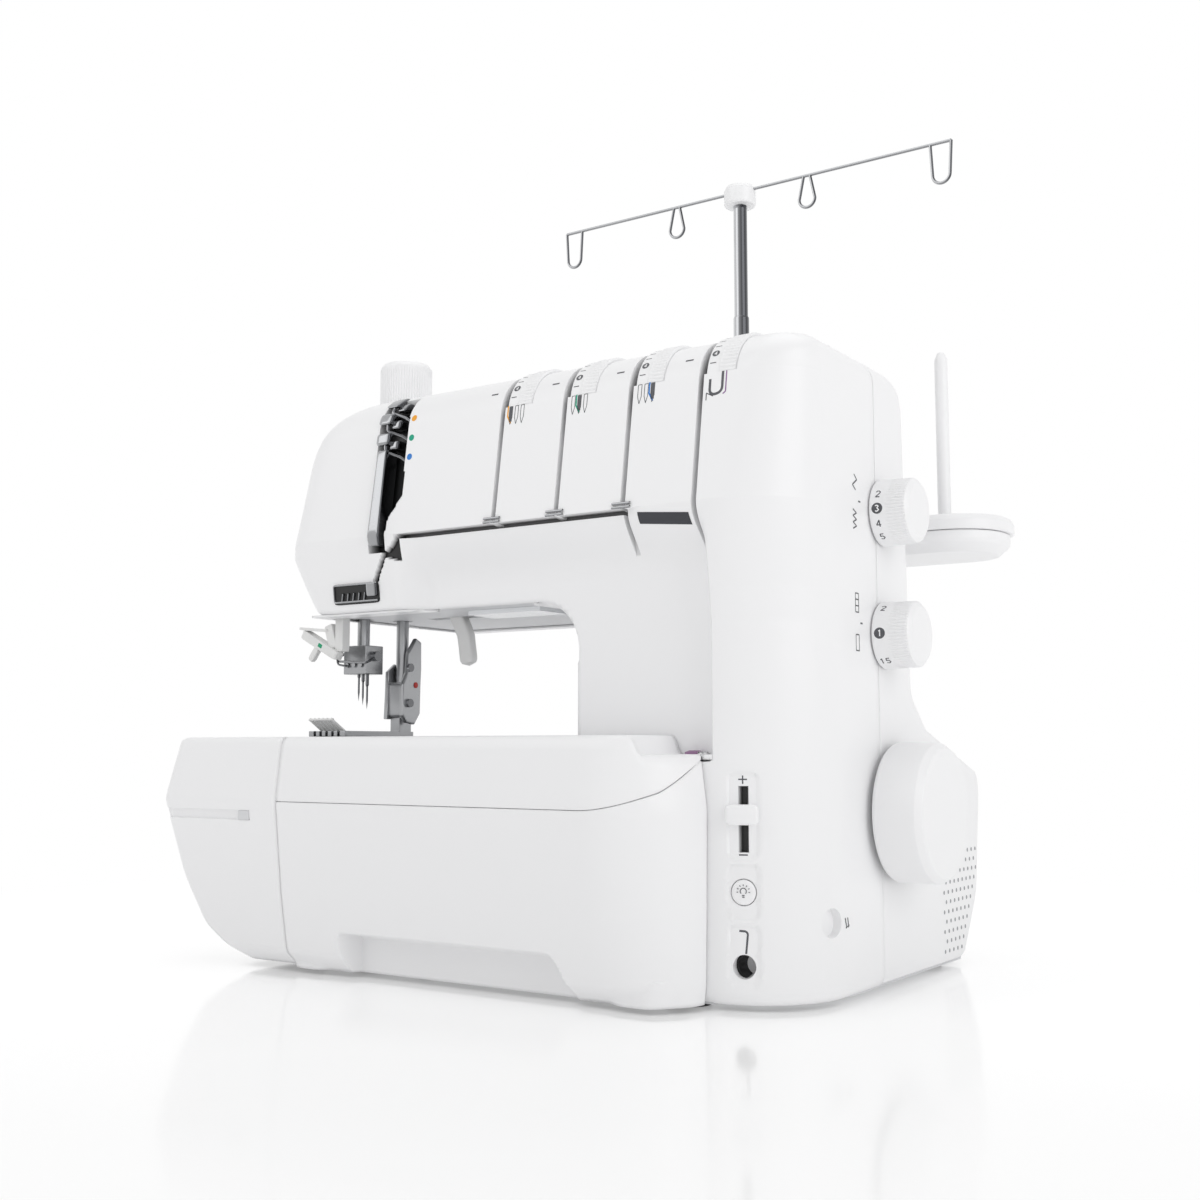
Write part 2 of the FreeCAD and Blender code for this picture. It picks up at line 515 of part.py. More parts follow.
EARS = (("notch_left - 24.6", "notch_left - 18"), ("notch_right + 18", "notch_right + 25.6"))
ears = [box(f"ear_{i}", span, ("bed_toe + wall - 1", "hinge_y + lug_round"),
    ("hinge_z - lug_round", "hinge_z + lug_round"))
        for i, span in enumerate(EARS)]
ear_bores = [rod(f"ear_bore_{i}", "x", "hinge_pin + run_fit", (f"{low} - 1", f"{high} + 1"),
    ("hinge_y", "hinge_z"))
             for i, (low, high) in enumerate(EARS)]
cover_shell = cut("cover_shell", cover_block("cover_out", "0", "0"), [
    cover_block("cover_in", "wall", "20"),
    box("sill_cut", ("table_joint - 5", "end_piece"), ("sill_back", "cover_back + 5"),
    ("cover_low - 5", "bed_top"))]
    + [box(f"lug_way_{i}", (f"{low} - joint_gap", f"{high} + joint_gap"),
           ("hinge_y - lug_round", "cover_back + 5"), ("cover_low - 5", "hinge_z"))
       for i, (low, high) in enumerate((LUG_LEFT, LUG_RIGHT))])
keep("looper_cover", cut("looper_cover", fuse("cover_eared", [cover_shell] + ears), ear_bores))


def table_block(name, inset, low):
    """The table's hull: the bed's front profile crossed with the tapered left end."""
    profile = prism(name + "_profile", "yz", [
        (f"bed_edge + {inset}", f"bed_top - {inset}"), (f"bed_bulge + {inset}", "bed_seam"),
        (f"bed_knee + {inset}", "bed_knee_high"), (f"bed_toe + {inset}", "bed_toe_high", "toe_round"),
        (f"bed_foot + {inset}", low), (f"bed_rear - {inset}", low),
        (f"bed_rear - {inset}", f"bed_top - {inset}")],
        ("table_left - 20", f"table_joint - joint_gap - {inset}"))
    taper = prism(name + "_taper", "xz", [
        (f"table_top_left + {inset}", f"bed_top - {inset}"),
        (f"table_left + {inset}", "bed_seam", "table_round"),
        (f"table_low_left + {inset}", "table_low_high", "table_round * 2"),
        (f"table_toe_left + {inset}", "table_toe_high", "table_round"),
        (f"table_foot + {inset}", low), ("table_joint", low), ("table_joint", f"bed_top - {inset}")],
        ("bed_bulge - 20", "bed_rear + 20"))
    return common(name, [profile, taper])


GROOVE_Z = ("groove_low", "groove_high")
LATCH_X = ("groove_end - latch_long", "groove_end")
table_cuts = [
    table_block("table_in", "wall", "table_low - 6"),
    box("arm_way", ("arm_end - joint_gap", "table_joint + 10"),
    ("arm_face - joint_gap", "arm_back + joint_gap"),
        ("free_arm_low - joint_gap", "bed_top + 10")),
    box("table_groove", ("table_left - 10", "groove_end"),
    ("bed_bulge - 10", "bed_bulge + groove_deep + 0.6"),
        GROOVE_Z),
    box("latch_way", ("groove_end - latch_long * 2 - joint_gap", "groove_end + joint_gap"),
        ("bed_bulge - 10", "bed_bulge + 10"), ("groove_low - joint_gap", "groove_high + joint_gap")),
]
keep("slide_on_table", cut("slide_on_table", table_block("table_out", "0", "table_low"), table_cuts))
latch = [box("latch_face", LATCH_X, ("bed_bulge + joint_gap", "bed_bulge + wall + 2"), GROOVE_Z),
         box("latch_back", ("groove_end - latch_long - 2", "groove_end + 2"),
             ("bed_bulge + wall + 1.6", "bed_bulge + wall + 4"), ("groove_low - 2", "groove_high + 2"))]
keep("table_latch", fuse("table_latch", latch))

# Frame casting: two upright plates, rear web, head plate and the shelves that guide the bars
FRAME_Y = ("frame_front", "frame_back")
FRAME_TOP = "(body_top - frame_drop)"


def upright(name, left, low, high):
    return box(name, (left, f"{left} + plate_wide"), FRAME_Y, (low, high))


LEVER_Y = ("press_y - lever_thick / 2", "press_y + lever_thick / 2")
casting = [
    upright("upright_a", "plate_a", BASE_TOP, FRAME_TOP),
    upright("upright_b", "plate_b", BASE_TOP, FRAME_TOP),
    upright("head_upright", "head_plate", "shelf_low", FRAME_TOP),
    box("rear_web", ("head_plate", "plate_b + plate_wide"), ("frame_back - web_thick", "frame_back"),
        ("web_low", FRAME_TOP)),
    box("foot_beam", ("plate_a", "plate_b"), ("frame_front + 10", "frame_front + 26"),
    (BASE_TOP, f"{BASE_TOP} + 8")),
    box("bed_beam", ("table_joint + wall + 1", "plate_a"), ("arm_back", "arm_back + web_thick"),
        ("beam_low", "beam_high")),
    box("low_shelf", ("shelf_left", "head_plate"), ("frame_front", "press_y + 13"),
        ("shelf_low", "shelf_low + shelf_thick")),
    box("high_shelf", ("shelf_left", "press_x - 1"), ("frame_front", "press_y + 13"),
        ("shelf_high", "shelf_high + shelf_thick")),
    box("high_shelf_root", ("press_x - 1", "head_plate"), ("press_y - 7", "press_y + 13"),
        ("shelf_high", "shelf_high + shelf_thick")),
    box("lever_lug", ("head_plate + plate_wide", "lever_x + 5"),
    (f"{LEVER_Y[1]} + joint_gap", f"{LEVER_Y[1]} + 6"),
        ("lever_z - 5", "lever_z + 5")),
    rod("lever_pivot", "y", "lever_pin", (f"{LEVER_Y[0]} - 1", f"{LEVER_Y[1]} + 3"),
    ("lever_x", "lever_z")),
]
for name, left in (("ear_a", "plate_a"), ("ear_b", "plate_b")):
    casting.append(box(f"dial_{name}", (left, f"{left} + plate_wide"), (f"{DIAL_Y} - 7", f"{DIAL_Y} + 8"),
                       (f"{FRAME_TOP} - 5", f"{DIAL_Z} + 6")))
bores = [
    rod("needle_bore", "z", "bar_round + run_fit", ("shelf_low - 9", f"{FRAME_TOP} + 9"),
    ("needle_x", "needle_y")),
    rod("press_bore", "z", "bar_round + run_fit", ("shelf_low - 9", f"{FRAME_TOP} + 9"),
    ("press_x", "press_y")),
    rod("spindle_bore", "x", "spindle", ("plate_a - 9", "plate_b + plate_wide - 2"), (DIAL_Y, DIAL_Z)),
    rod("upper_bush_bore", "x", "upper_round + bush_wall", ("head_plate - 9", "plate_a + plate_wide + 9"),
        ("upper_y", "upper_z")),
    rod("main_bush_bore", "x", "main_round + bush_wall", ("plate_a - 9", "plate_b + plate_wide + 9"),
        ("main_y", "main_z")),
    rod("stem_bore_high", "x", "knob_stem + run_fit", ("plate_b - 9", "plate_b + plate_wide + 9"),
        ("knob_y", "knob_z_high")),
    rod("stem_bore_low", "x", "knob_stem + run_fit", ("plate_b - 9", "plate_b + plate_wide + 9"),
        ("knob_y", "knob_z_low")),
    rod("looper_beam_bore", "y", "looper_shaft + run_fit", ("arm_back - 9", "arm_back + web_thick + 9"),
        (LOOPER_X, LOOPER_Z)),
]
keep("main_frame", cut("main_frame", fuse("casting", casting), bores))
BUSHES = [("head_plate", "upper"), ("plate_a", "upper"), ("plate_a", "main"), ("plate_b", "main")]
keep("shaft_bushes", group("shaft_bushes", [
    ring(f"bush_{i}", "x", f"{shaft}_round + bush_wall", f"{shaft}_round + run_fit",
    (left, f"{left} + plate_wide"),
         (f"{shaft}_y", f"{shaft}_z")) for i, (left, shaft) in enumerate(BUSHES)]))

# Drive: main shaft with the handwheel, upper shaft with its crank, motor and the two belts
MAIN = ("main_y", "main_z")
UPPER = ("upper_y", "upper_z")
PULLEY_X = ("pulley_at", "pulley_at + pulley_wide")
DRIVE_X = ("drive_at", "drive_at + pulley_wide")
keep("main_shaft", fuse("main_shaft", [
    rod("main_rod", "x", "main_round", ("main_left", "wheel_out - 8"), MAIN),
    rod("timing_pulley", "x", "pulley_round", PULLEY_X, MAIN),
    rod("drive_pulley", "x", "drive_round", DRIVE_X, MAIN)]))
keep("handwheel", turned("handwheel", "x", [
    ("main_round + run_fit", "wheel_in"), ("wheel_round - wheel_bevel / 2", "wheel_in"),
    ("wheel_round", "wheel_in + wheel_bevel / 2"), ("wheel_round", "wheel_out - wheel_bevel * 2"),
    ("wheel_round - wheel_bevel", "wheel_out - wheel_bevel / 2"),
    ("wheel_round - wheel_bevel * 3", "wheel_out"),
    ("0", "wheel_out"), ("0", "wheel_out - 8 + run_fit"),
    ("main_round + run_fit", "wheel_out - 8 + run_fit")],
    ("0", "main_y", "main_z")))
CRANK_X = ("head_plate - 2 - crank_thick", "head_plate - 2")
keep("upper_shaft", fuse("upper_shaft", [
    rod("upper_bar", "x", "upper_round", ("head_plate - 2", "upper_right"), UPPER),
    rod("upper_pulley", "x", "pulley_round", PULLEY_X, UPPER),
    rod("crank_disc", "x", "crank_round", CRANK_X, UPPER),
    rod("crank_stud", "x", "crank_pin", (f"{CRANK_X[0]} - 6", CRANK_X[0]),
    ("upper_y", "upper_z + crank_throw"))]))
MOTOR = ("motor_y", "motor_z")
cradle = box("cradle", ("motor_left + 17", "motor_right - 15"), ("motor_y - 15", "motor_y + 10"),
    (BASE_TOP, "motor_z"))
keep("motor", fuse("motor", [rod("motor_can", "x", "motor_round", ("motor_left", "motor_right"), MOTOR),
    cradle]))
keep("motor_pulley", fuse("motor_pulley", [
    rod("motor_wheel", "x", "motor_pulley", DRIVE_X, MOTOR),
    rod("motor_stub", "x", "motor_pulley / 3", ("motor_right + joint_gap", "drive_at"), MOTOR)]))


def belt(first, first_round, second, second_round, span):
    """A flat band round two pulleys: the outer loop of two arcs and two tangents, less the inner one."""
    loops = []
    for extra in (value("joint_gap + belt_thick"), value("joint_gap")):
        a = Vector(0, value(first[0]), value(first[1]))
        b = Vector(0, value(second[0]), value(second[1]))
        ra = value(first_round) + extra
        rb = value(second_round) + extra
        along = (b - a).normalize()
        lean = math.acos((ra - rb) / (b - a).Length)
        across = Vector(1, 0, 0).cross(along)
        sides = [along * math.cos(lean) + across * math.sin(lean),
            along * math.cos(lean) - across * math.sin(lean)]
        edges = [
            Part.LineSegment(a + sides[0] * ra, b + sides[0] * rb).toShape(),
            Part.Arc(b + sides[0] * rb, b + along * rb, b + sides[1] * rb).toShape(),
            Part.LineSegment(b + sides[1] * rb, a + sides[1] * ra).toShape(),
            Part.Arc(a + sides[1] * ra, a - along * ra, a + sides[0] * ra).toShape()]
        face = Part.Face(Part.Wire(edges))
        face.translate(Vector(value(span[0]), 0, 0))
        loops.append(face.extrude(Vector(value(f"({span[1]}) - ({span[0]})"), 0, 0)))
    return loops[0].cut(loops[1])


belts = doc.addObject("Part::Feature", "belts")
belts.Shape = Part.makeCompound([belt(MAIN, "pulley_round", UPPER, "pulley_round", PULLEY_X),
                                 belt(MAIN, "drive_round", MOTOR, "motor_pulley", DRIVE_X)])
keep("belts", belts)

# Needle bar with its clamp, three stepped needles and the take-up arm
BAR = ("needle_x", "needle_y")
keep("needle_bar", rod("needle_bar", "z", "bar_round", ("clamp_high", "bar_top"), BAR))
keep("needle_clamp", box("needle_clamp", ("needle_x - 8.5", "needle_x + 8.5"),
    ("needle_y - 7", "needle_y + 7"),
                         ("clamp_low", "clamp_high")))
needles = []
for i in range(3):
    tip = f"(needle_tip - {i - 1} * needle_step)"
    needles.append(turned(f"needle_{i}", "z", [
        ("0", tip), ("needle_round", f"{tip} + 5"), ("needle_round", f"{tip} + 13"),
        ("needle_round * 1.7", f"{tip} + 14"),
        ("needle_round * 1.7", "clamp_low"), ("0", "clamp_low")],
        (f"needle_x + {i - 1} * needle_pitch", "needle_y", "0")))
keep("needles", group("needles", needles))
clamp_screws = [rod(f"set_screw_{i}", "y", "1.3", ("needle_y - 8", "needle_y - 7"),
                    (f"needle_x + {i - 1} * needle_pitch * 1.6", "clamp_low + 5")) for i in range(3)]
clamp_screws.append(rod("side_screw", "x", "2.8", ("needle_x + 8.5", "needle_x + 11.5"),
    ("needle_y", "clamp_high - 6")))
keep("clamp_screws", group("clamp_screws", clamp_screws))
TAKE_Z = ("upper_z - 9", "upper_z + 1")
take_up = fuse("take_up_body", [
    box("driver_block", ("needle_x - 7", "needle_x + 9"), ("needle_y - 7", "needle_y + 7"), TAKE_Z),
    box("take_up_reach", ("needle_x + 5", "needle_x + 10"), ("upper_y - crank_round - 9", "needle_y - 7"),
    TAKE_Z),
    box("take_up_arm", ("needle_x + 5", "guide_left - 4"),
    ("upper_y - crank_round - 9", "upper_y - crank_round - 5"),
        TAKE_Z)])
keep("take_up_lever", cut("take_up_lever", take_up, [rod("driver_bore", "z", "bar_round", TAKE_Z, BAR)]))

# Presser bar, foot and lifter
PRESS = ("press_x", "press_y")
keep("presser_bar", rod("presser_bar", "z", "bar_round", ("press_low", "press_top"), PRESS))
FOOT_TOP = "(foot_low + foot_thick)"
SHANK_LOW = "(press_low - 20)"
keep("foot_shank", fuse("foot_shank", [
    box("shank_block", ("press_x - 6", "press_x + 6"), ("press_y - 7", "press_y + 7"),
    (SHANK_LOW, "press_low")),
    box("shank_bracket", ("press_x + 6", "press_x + 9"), ("press_y - 15", "press_y + 5"),
    (f"{SHANK_LOW} - 4", "press_low + 20"))]))
sole_cuts = [box("sole_window", ("needle_x - 6", "needle_x + 6"), ("needle_y - 5", "needle_y + 5"),
                 ("foot_low - 5", "foot_low + 15"))]
for i in range(5):
    tooth = f"(foot_left + (foot_right - foot_left) * {i + 1} / 6)"
    sole_cuts.append(box(f"toe_gap_{i}", (f"{tooth} - 0.9", f"{tooth} + 0.9"),
        ("foot_front - 5", "needle_y - 10"),
                         ("foot_low - 5", "foot_low + 15")))
sole = fuse("sole_body", [
    box("sole_flat", ("foot_left", "foot_right"), ("foot_front", "foot_back"), ("foot_low", FOOT_TOP)),
    box("sole_neck", ("press_x - 4", "press_x + 3"), ("press_y - 5", "press_y + 5"),
    ("foot_low", SHANK_LOW))])
keep("foot_sole", cut("foot_sole", sole, sole_cuts))
keep("foot_screws", group("foot_screws", [
    rod(f"foot_screw_{i}", "x", "2.4", ("press_x + 9", "press_x + 10.6"),
    ("press_y - 4", f"press_low + {8 - 20 * i}"))
    for i in range(2)]))
lever = prism("lever_blade", "xz", [
    ("lever_x - 5", "lever_z + 4"), ("lever_x + 4", "lever_z + 5"), ("lever_x + 15", "lever_z - 9"),
    ("lever_x + 24", "lever_z - 30"), ("lever_x + 18", "lever_z - 32"), ("lever_x + 9", "lever_z - 15"),
    ("lever_x - 5", "lever_z - 5")], LEVER_Y)
keep("lifter_lever", cut("lifter_lever", lever, [
    rod("lever_bore", "y", "lever_pin + run_fit", (f"{LEVER_Y[0]} - 5", f"{LEVER_Y[1]} + 5"),
    ("lever_x", "lever_z"))]))
keep("pressure_knob", turned("pressure_knob", "z", [
    ("0", "press_stem_low"), ("press_stem", "press_stem_low"), ("press_stem", "press_knob_low"),
    ("press_knob", "press_knob_low"), ("press_knob", "press_knob_top - 2.5"),
    ("press_knob - 2.5", "press_knob_top"),
    ("0", "press_knob_top")], ("press_x", "press_y", "0")))
keep("pressure_spring", ring("pressure_spring", "z", "press_stem + 2.2", "press_stem + 0.4",
                             ("press_stem_low", "press_knob_low - joint_gap"), PRESS))
threader = [
    box("threader_post", ("needle_x - 3", "needle_x + 3"), ("threader_y - 2.4", "frame_front - joint_gap"),
        ("clamp_low + 12", "shelf_low + 14")),
    prism("threader_block", "xz", [
        ("needle_x - 28", "clamp_low + 20"), ("needle_x - 23", "clamp_low + 25"),
        ("needle_x + 1", "clamp_low + 15"),
        ("needle_x - 3", "clamp_low + 5")], ("threader_y - 4", "threader_y + 3"))]
keep("needle_threader", fuse("needle_threader", threader))
keep("arm_underside_cover", cut("arm_underside_cover", box(
    "under_plate", ("under_left + joint_gap", "under_right - joint_gap"),
    ("under_front + joint_gap", "under_rear - joint_gap"), ("arm_low", "arm_low + wall")), [
    rod("under_needle", "z", "bar_round + 2", ("arm_low - 5", "arm_low + 9"), BAR),
    rod("under_press", "z", "bar_round + 2", ("arm_low - 5", "arm_low + 9"), PRESS),
    box("under_lever", ("lever_x - 9", "lever_x + 37"), (f"{LEVER_Y[0]} - 1", f"{LEVER_Y[1]} + 1"),
        ("arm_low - 5", "arm_low + 9")),
    box("under_threader", ("needle_x - 3 - joint_gap", "needle_x + 3 + joint_gap"),
        ("under_front - 5", "frame_front"), ("arm_low - 5", "arm_low + 9"))]))
keep("led_lens", box("led_lens", ("lever_x + 42", "under_right - 6"), ("press_y - 30", "press_y - 6"),
                     ("arm_low - 2.5", "arm_low")))

# Looper and feed dog inside the free arm
looper_blade = prism("looper_blade", "xz", [
    (f"{LOOPER_X} - 4", f"{LOOPER_Z} - 4"), (f"{LOOPER_X} + 4", f"{LOOPER_Z} - 4"),
    (f"{LOOPER_X} + 2.5", f"{LOOPER_Z} + 36"),
    (f"{LOOPER_X} - 16", f"{LOOPER_Z} + 35"), (f"{LOOPER_X} - 16", f"{LOOPER_Z} + 34"),
    (f"{LOOPER_X} - 3", f"{LOOPER_Z} + 30")],
    ("needle_y + 2.2", "needle_y + 5.2"))
keep("looper", fuse("looper", [looper_blade,
    rod("looper_rod", "y", "looper_shaft", ("needle_y + 2.2", "arm_back + web_thick + 8"),
                                                 (LOOPER_X, LOOPER_Z))]))
FEED_Y = ("needle_y - 17", "needle_y + 17")
BRIDGE_Y = ("needle_y - 22", "needle_y - 15")
feed = [box(f"feed_bar_{i}", span, FEED_Y, ("bed_top - 6", "bed_top - 0.6"))
        for i, span in enumerate((FEED_LEFT, FEED_RIGHT))]
feed += [box("feed_bridge", (FEED_LEFT[0], FEED_RIGHT[1]), BRIDGE_Y, ("bed_top - 20", "bed_top - 4.5")),
         box("feed_stem", ("needle_x - 3", "needle_x + 3"), BRIDGE_Y,
         ("free_arm_low + arm_wall + joint_gap", "bed_top - 20"))]
keep("feed_dog", fuse("feed_dog", feed))

# Tension row: through spindle, disc pairs, four dials, clips, the chrome take-up cover and lower guide
AXIS = (DIAL_Y, DIAL_Z)
keep("tension_shaft", rod("tension_shaft", "x", "spindle", ("groove_first - 6", "plate_b + plate_wide - 2"),
    AXIS))
discs = []
for i in range(4):
    for side, start in enumerate(("0", "groove_wide - 0.9")):
        low = f"({groove_x(i)} + {start})"
        discs.append(ring(f"disc_{i}_{side}", "x", "disc_round", "spindle + run_fit", (low, f"{low} + 0.9"),
            AXIS))
    keep(f"tension_dial_{i + 1}", ring(f"tension_dial_{i + 1}", "x", "dial_round", "spindle + run_fit",
                                       (dial_x(i), f"{dial_x(i)} + dial_wide"), AXIS))
keep("tension_discs", group("tension_discs", discs))
guide_cuts = [box(f"hook_gap_{i}", ("guide_left - 1", "guide_right - 5"),
    ("plan_front - 20", f"{GUIDE_TOP_Y} + 2"),
                  (f"guide_high - 8 - {i} * 12", f"guide_high - 4 - {i} * 12")) for i in range(3)]
keep("take_up_cover", cut("take_up_cover", guide_block("guide_body", "0", "-1.5", "guide_thick"),
    guide_cuts))
clips = [box(f"clip_{i}", (f"{groove_x(i)} - 3", f"{groove_x(i)} + groove_wide + 1"),
    ("arm_front - 1.2", "arm_front"),
             ("crease - 0.4", "crease + 2.2")) for i in range(3)]
LOW_GUIDE_TOP = "(arm_low + 13)"
LOW_FACE = (f"(column_front + ({LOW_GUIDE_TOP} - column_shoulder) / (crease - column_shoulder)"
            " * (arm_front - column_front) - joint_gap)")
clips.append(box("low_guide", ("guide_left - 17", "guide_right - 8"), (f"{LOW_FACE} - clip_thick", LOW_FACE),
                 (f"{LOW_GUIDE_TOP} - 9", LOW_GUIDE_TOP)))
keep("thread_guides", group("thread_guides", clips))

# Right side dials, control strip, knee-lift socket and mains inlet
for node, high in (("stitch_length_dial", "knob_z_high"), ("differential_dial", "knob_z_low")):
    keep(node, turned(node, "x", [
        ("0", "plate_b"), ("knob_stem", "plate_b"), ("knob_stem", "knob_in"), ("knob_round", "knob_in"),
        ("knob_round", "knob_out - 2.5"), ("knob_round - 2.5", "knob_out"), ("0", "knob_out")],
        ("0", "knob_y", high)))
GRIP_Z = ("slide_z - grip_high / 2", "slide_z + grip_high / 2")
keep("tension_slider", fuse("tension_slider", [
    box("slide_grip", ("strip_x - grip_wide / 2", "strip_x + grip_wide / 2"),
        ("column_front - joint_gap - grip_out", "column_front - joint_gap"), GRIP_Z),
    box("slide_neck", ("strip_x - slide_wide / 2", "strip_x + slide_wide / 2"),
        ("column_front - joint_gap", "column_front + wall + 1"), ("slide_z - 3.5", "slide_z + 3.5")),
    box("slide_back", ("strip_x - 8", "strip_x"),
    ("column_front + wall + joint_gap", "column_front + wall + 3"), GRIP_Z)]))
keep("light_button", fuse("light_button", [
    rod("button_cap", "y", "light_round", ("column_front - light_out", "column_front + wall + 4"),
    ("strip_x", "light_z")),
    box("button_flange", ("strip_x - 8", "strip_x"),
    ("column_front + wall + joint_gap", "column_front + wall + 3"),
        ("light_z - 7", "light_z + 7"))]))
socket_foot = box("socket_foot", ("strip_x - 5", "strip_x + 5"), ("column_front + 16", "column_front + 27"),
                  (BASE_TOP, "knee_z"))
SOCKET_Y = ("column_front + 8", "column_front + 8 + knee_deep")
keep("knee_lift_socket", cut("knee_lift_socket", fuse("socket_body", [
    rod("socket_tube", "y", "knee_bore + 2.5", SOCKET_Y, ("strip_x", "knee_z")), socket_foot]),
    [rod("socket_bore", "y", "knee_bore", SOCKET_Y, ("strip_x", "knee_z"))]))
INLET_IN = "(inlet_out - inlet_deep)"
inlet = box("inlet_body", ("inlet_left", "inlet_right"), (INLET_IN, "inlet_out"),
    ("inlet_low", "inlet_high"))
inlet_room = box("inlet_room", ("inlet_left + 3", "inlet_right - 3"), (f"{INLET_IN} + 6", "inlet_out + 5"),
                 ("inlet_low + 3", "inlet_high - 3"))
inlet_pins = [rod(f"inlet_pin_{i}", "y", "2", (f"{INLET_IN} + 5", "inlet_out - 5"),
                  (f"(inlet_left + inlet_right) / 2 + {(i - 1) * 7}",
                  "(inlet_low + inlet_high) / 2")) for i in range(3)]
keep("power_inlet", fuse("power_inlet", [cut("inlet_shell", inlet, [inlet_room])] + inlet_pins))

# Thread stand: two-part tray, four spool pins, telescopic rod, cap and the bent wire guide


def tray(name, inset, low, high):
    corner = f"stand_round - {inset}"
    return prism(name, "xy", [
        (f"stand_left + {inset}", f"stand_front + {inset}", corner),
        (f"stand_right - {inset}", f"stand_front + {inset}", corner),
        (f"stand_right - {inset}", f"stand_back - {inset}", corner),
        (f"stand_left + {inset}", f"stand_back - {inset}", corner)],
        (low, high))


STAND_SEAM = "(stand_low + shell_high)"
STAND_TOP = f"({STAND_SEAM} + rim_high)"
TRAY_FLOOR = f"({STAND_TOP} - tray_deep)"
PIN_TOP = f"({TRAY_FLOOR} + pin_long)"
TUBE_TOP = f"({TRAY_FLOOR} + tube_long)"
ROD_LOW = f"({TUBE_TOP} - rod_inside)"
ROD_TOP = f"({ROD_LOW} + rod_long)"
CAP_LOW = f"({ROD_TOP} - cap_over)"
CAP_TOP = f"({CAP_LOW} + cap_high)"
WIRE_Z = f"({ROD_TOP} + wire_up)"
bracket = box("bracket", ("stand_x - bracket_wide / 2", "stand_x + bracket_wide / 2"),
    ("frame_back", "stand_y"),
              ("stand_low - bracket_thick", "stand_low"))
keep("stand_shell", fuse("stand_shell",
    [tray("tray_low", "tray_rim / 2", "stand_low", STAND_SEAM), bracket]))
keep("stand_rim", cut("stand_rim", tray("tray_high", "0", STAND_SEAM, STAND_TOP),
                      [tray("tray_room", "tray_rim", TRAY_FLOOR, f"{STAND_TOP} + 5")]))
spool_pins = []
for i, offset in enumerate(("-pin_outer", "-pin_inner", "pin_inner", "pin_outer")):
    spool_pins.append(turned(f"spool_pin_{i}", "z", [
        ("0", TRAY_FLOOR), ("pin_round * 2", TRAY_FLOOR), ("pin_round * 2", f"{TRAY_FLOOR} + 3"),
        ("pin_round", f"{TRAY_FLOOR} + 4"), ("pin_round", f"{PIN_TOP} - 4"), ("pin_round / 2", PIN_TOP),
        ("0", PIN_TOP)],
        (f"stand_x + ({offset})", "stand_y", "0")))
keep("spool_pins", group("spool_pins", spool_pins))
STAND = ("stand_x", "stand_y")
ROD = "(tube_round - tube_wall - run_fit)"
keep("rod_lower_tube", ring("rod_lower_tube", "z", "tube_round", "tube_round - tube_wall",
    (TRAY_FLOOR, TUBE_TOP), STAND))
keep("rod_upper_tube", rod("rod_upper_tube", "z", ROD, (ROD_LOW, ROD_TOP), STAND))
cap = turned("cap_body", "z", [
    (ROD, CAP_LOW), ("cap_round", CAP_LOW), ("cap_round", f"{CAP_TOP} - 3"),
    ("cap_round - 2.5", CAP_TOP),
    ("0", CAP_TOP), ("0", ROD_TOP), (ROD, ROD_TOP)], ("stand_x", "stand_y", "0"))
keep("guide_cap", cut("guide_cap", cap, [
    rod("wire_way", "x", "wire", ("stand_x - cap_round - 5", "stand_x + cap_round + 5"),
    ("stand_y", WIRE_Z))]))


def loop_path(centre, half_wide, high, low_round):
    """A closed hanging eye: two straight sides down from the bar to a round bottom."""
    top = Vector(centre, value("stand_y"), value(WIRE_Z))
    down = Vector(0, 0, -1)
    left = top + Vector(-half_wide, 0, 0)
    right = top + Vector(half_wide, 0, 0)
    base = top + down * (high - low_round)
    a = base + Vector(-low_round, 0, 0)
    b = base + Vector(low_round, 0, 0)
    edges = [Part.LineSegment(left, a).toShape(), Part.Arc(a, base + down * low_round, b).toShape(),
             Part.LineSegment(b, right).toShape()]
    return Part.Wire(edges)


def wire_tube(path):
    start = path.Edges[0].valueAt(path.Edges[0].FirstParameter)
    heading = path.Edges[0].tangentAt(path.Edges[0].FirstParameter)
    section = Part.Wire(Part.makeCircle(value("wire"), start, heading))
    return path.makePipeShell([section], True, False, 2)


wires = [Part.makeCylinder(value("wire"), value("wire_half * 2"),
                           Vector(value("stand_x + wire_shift - wire_half"), value("stand_y"),
                           value(WIRE_Z)), Vector(1, 0, 0))]
for sign in (-1, 1):
    outer = value("stand_x + wire_shift") + sign * (value("wire_half") - value("loop_wide / 2"))
    inner = value("stand_x") + sign * value("pin_inner")
    wires.append(wire_tube(loop_path(outer, value("loop_wide / 2"), value("loop_high"),
        value("loop_wide / 2"))))
    wires.append(wire_tube(loop_path(inner, value("wire"), value("drop_high"), value("drop_round"))))
guide_wire = doc.addObject("Part::Feature", "guide_wire")
guide_wire.Shape = wires[0].multiFuse(wires[1:]).removeSplitter()
keep("guide_wire", guide_wire)

# Check every object, then write one file for each node
doc.recompute()
faults = [thing.Name for thing in doc.Objects if {"Invalid", "Error"} & set(thing.State)]
for node, solid in pieces.items():
    if solid.Shape.isNull() or not solid.Shape.isValid() or not solid.Shape.Solids:
        faults.append(node)
if faults:
    raise RuntimeError("failed: " + ", ".join(sorted(set(faults))))
os.makedirs("parts", exist_ok=True)
for node, solid in pieces.items():
    solid.Shape.exportStep(f"parts/{node}.step")
print(len(pieces), "nodes written")
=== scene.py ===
import json
import math

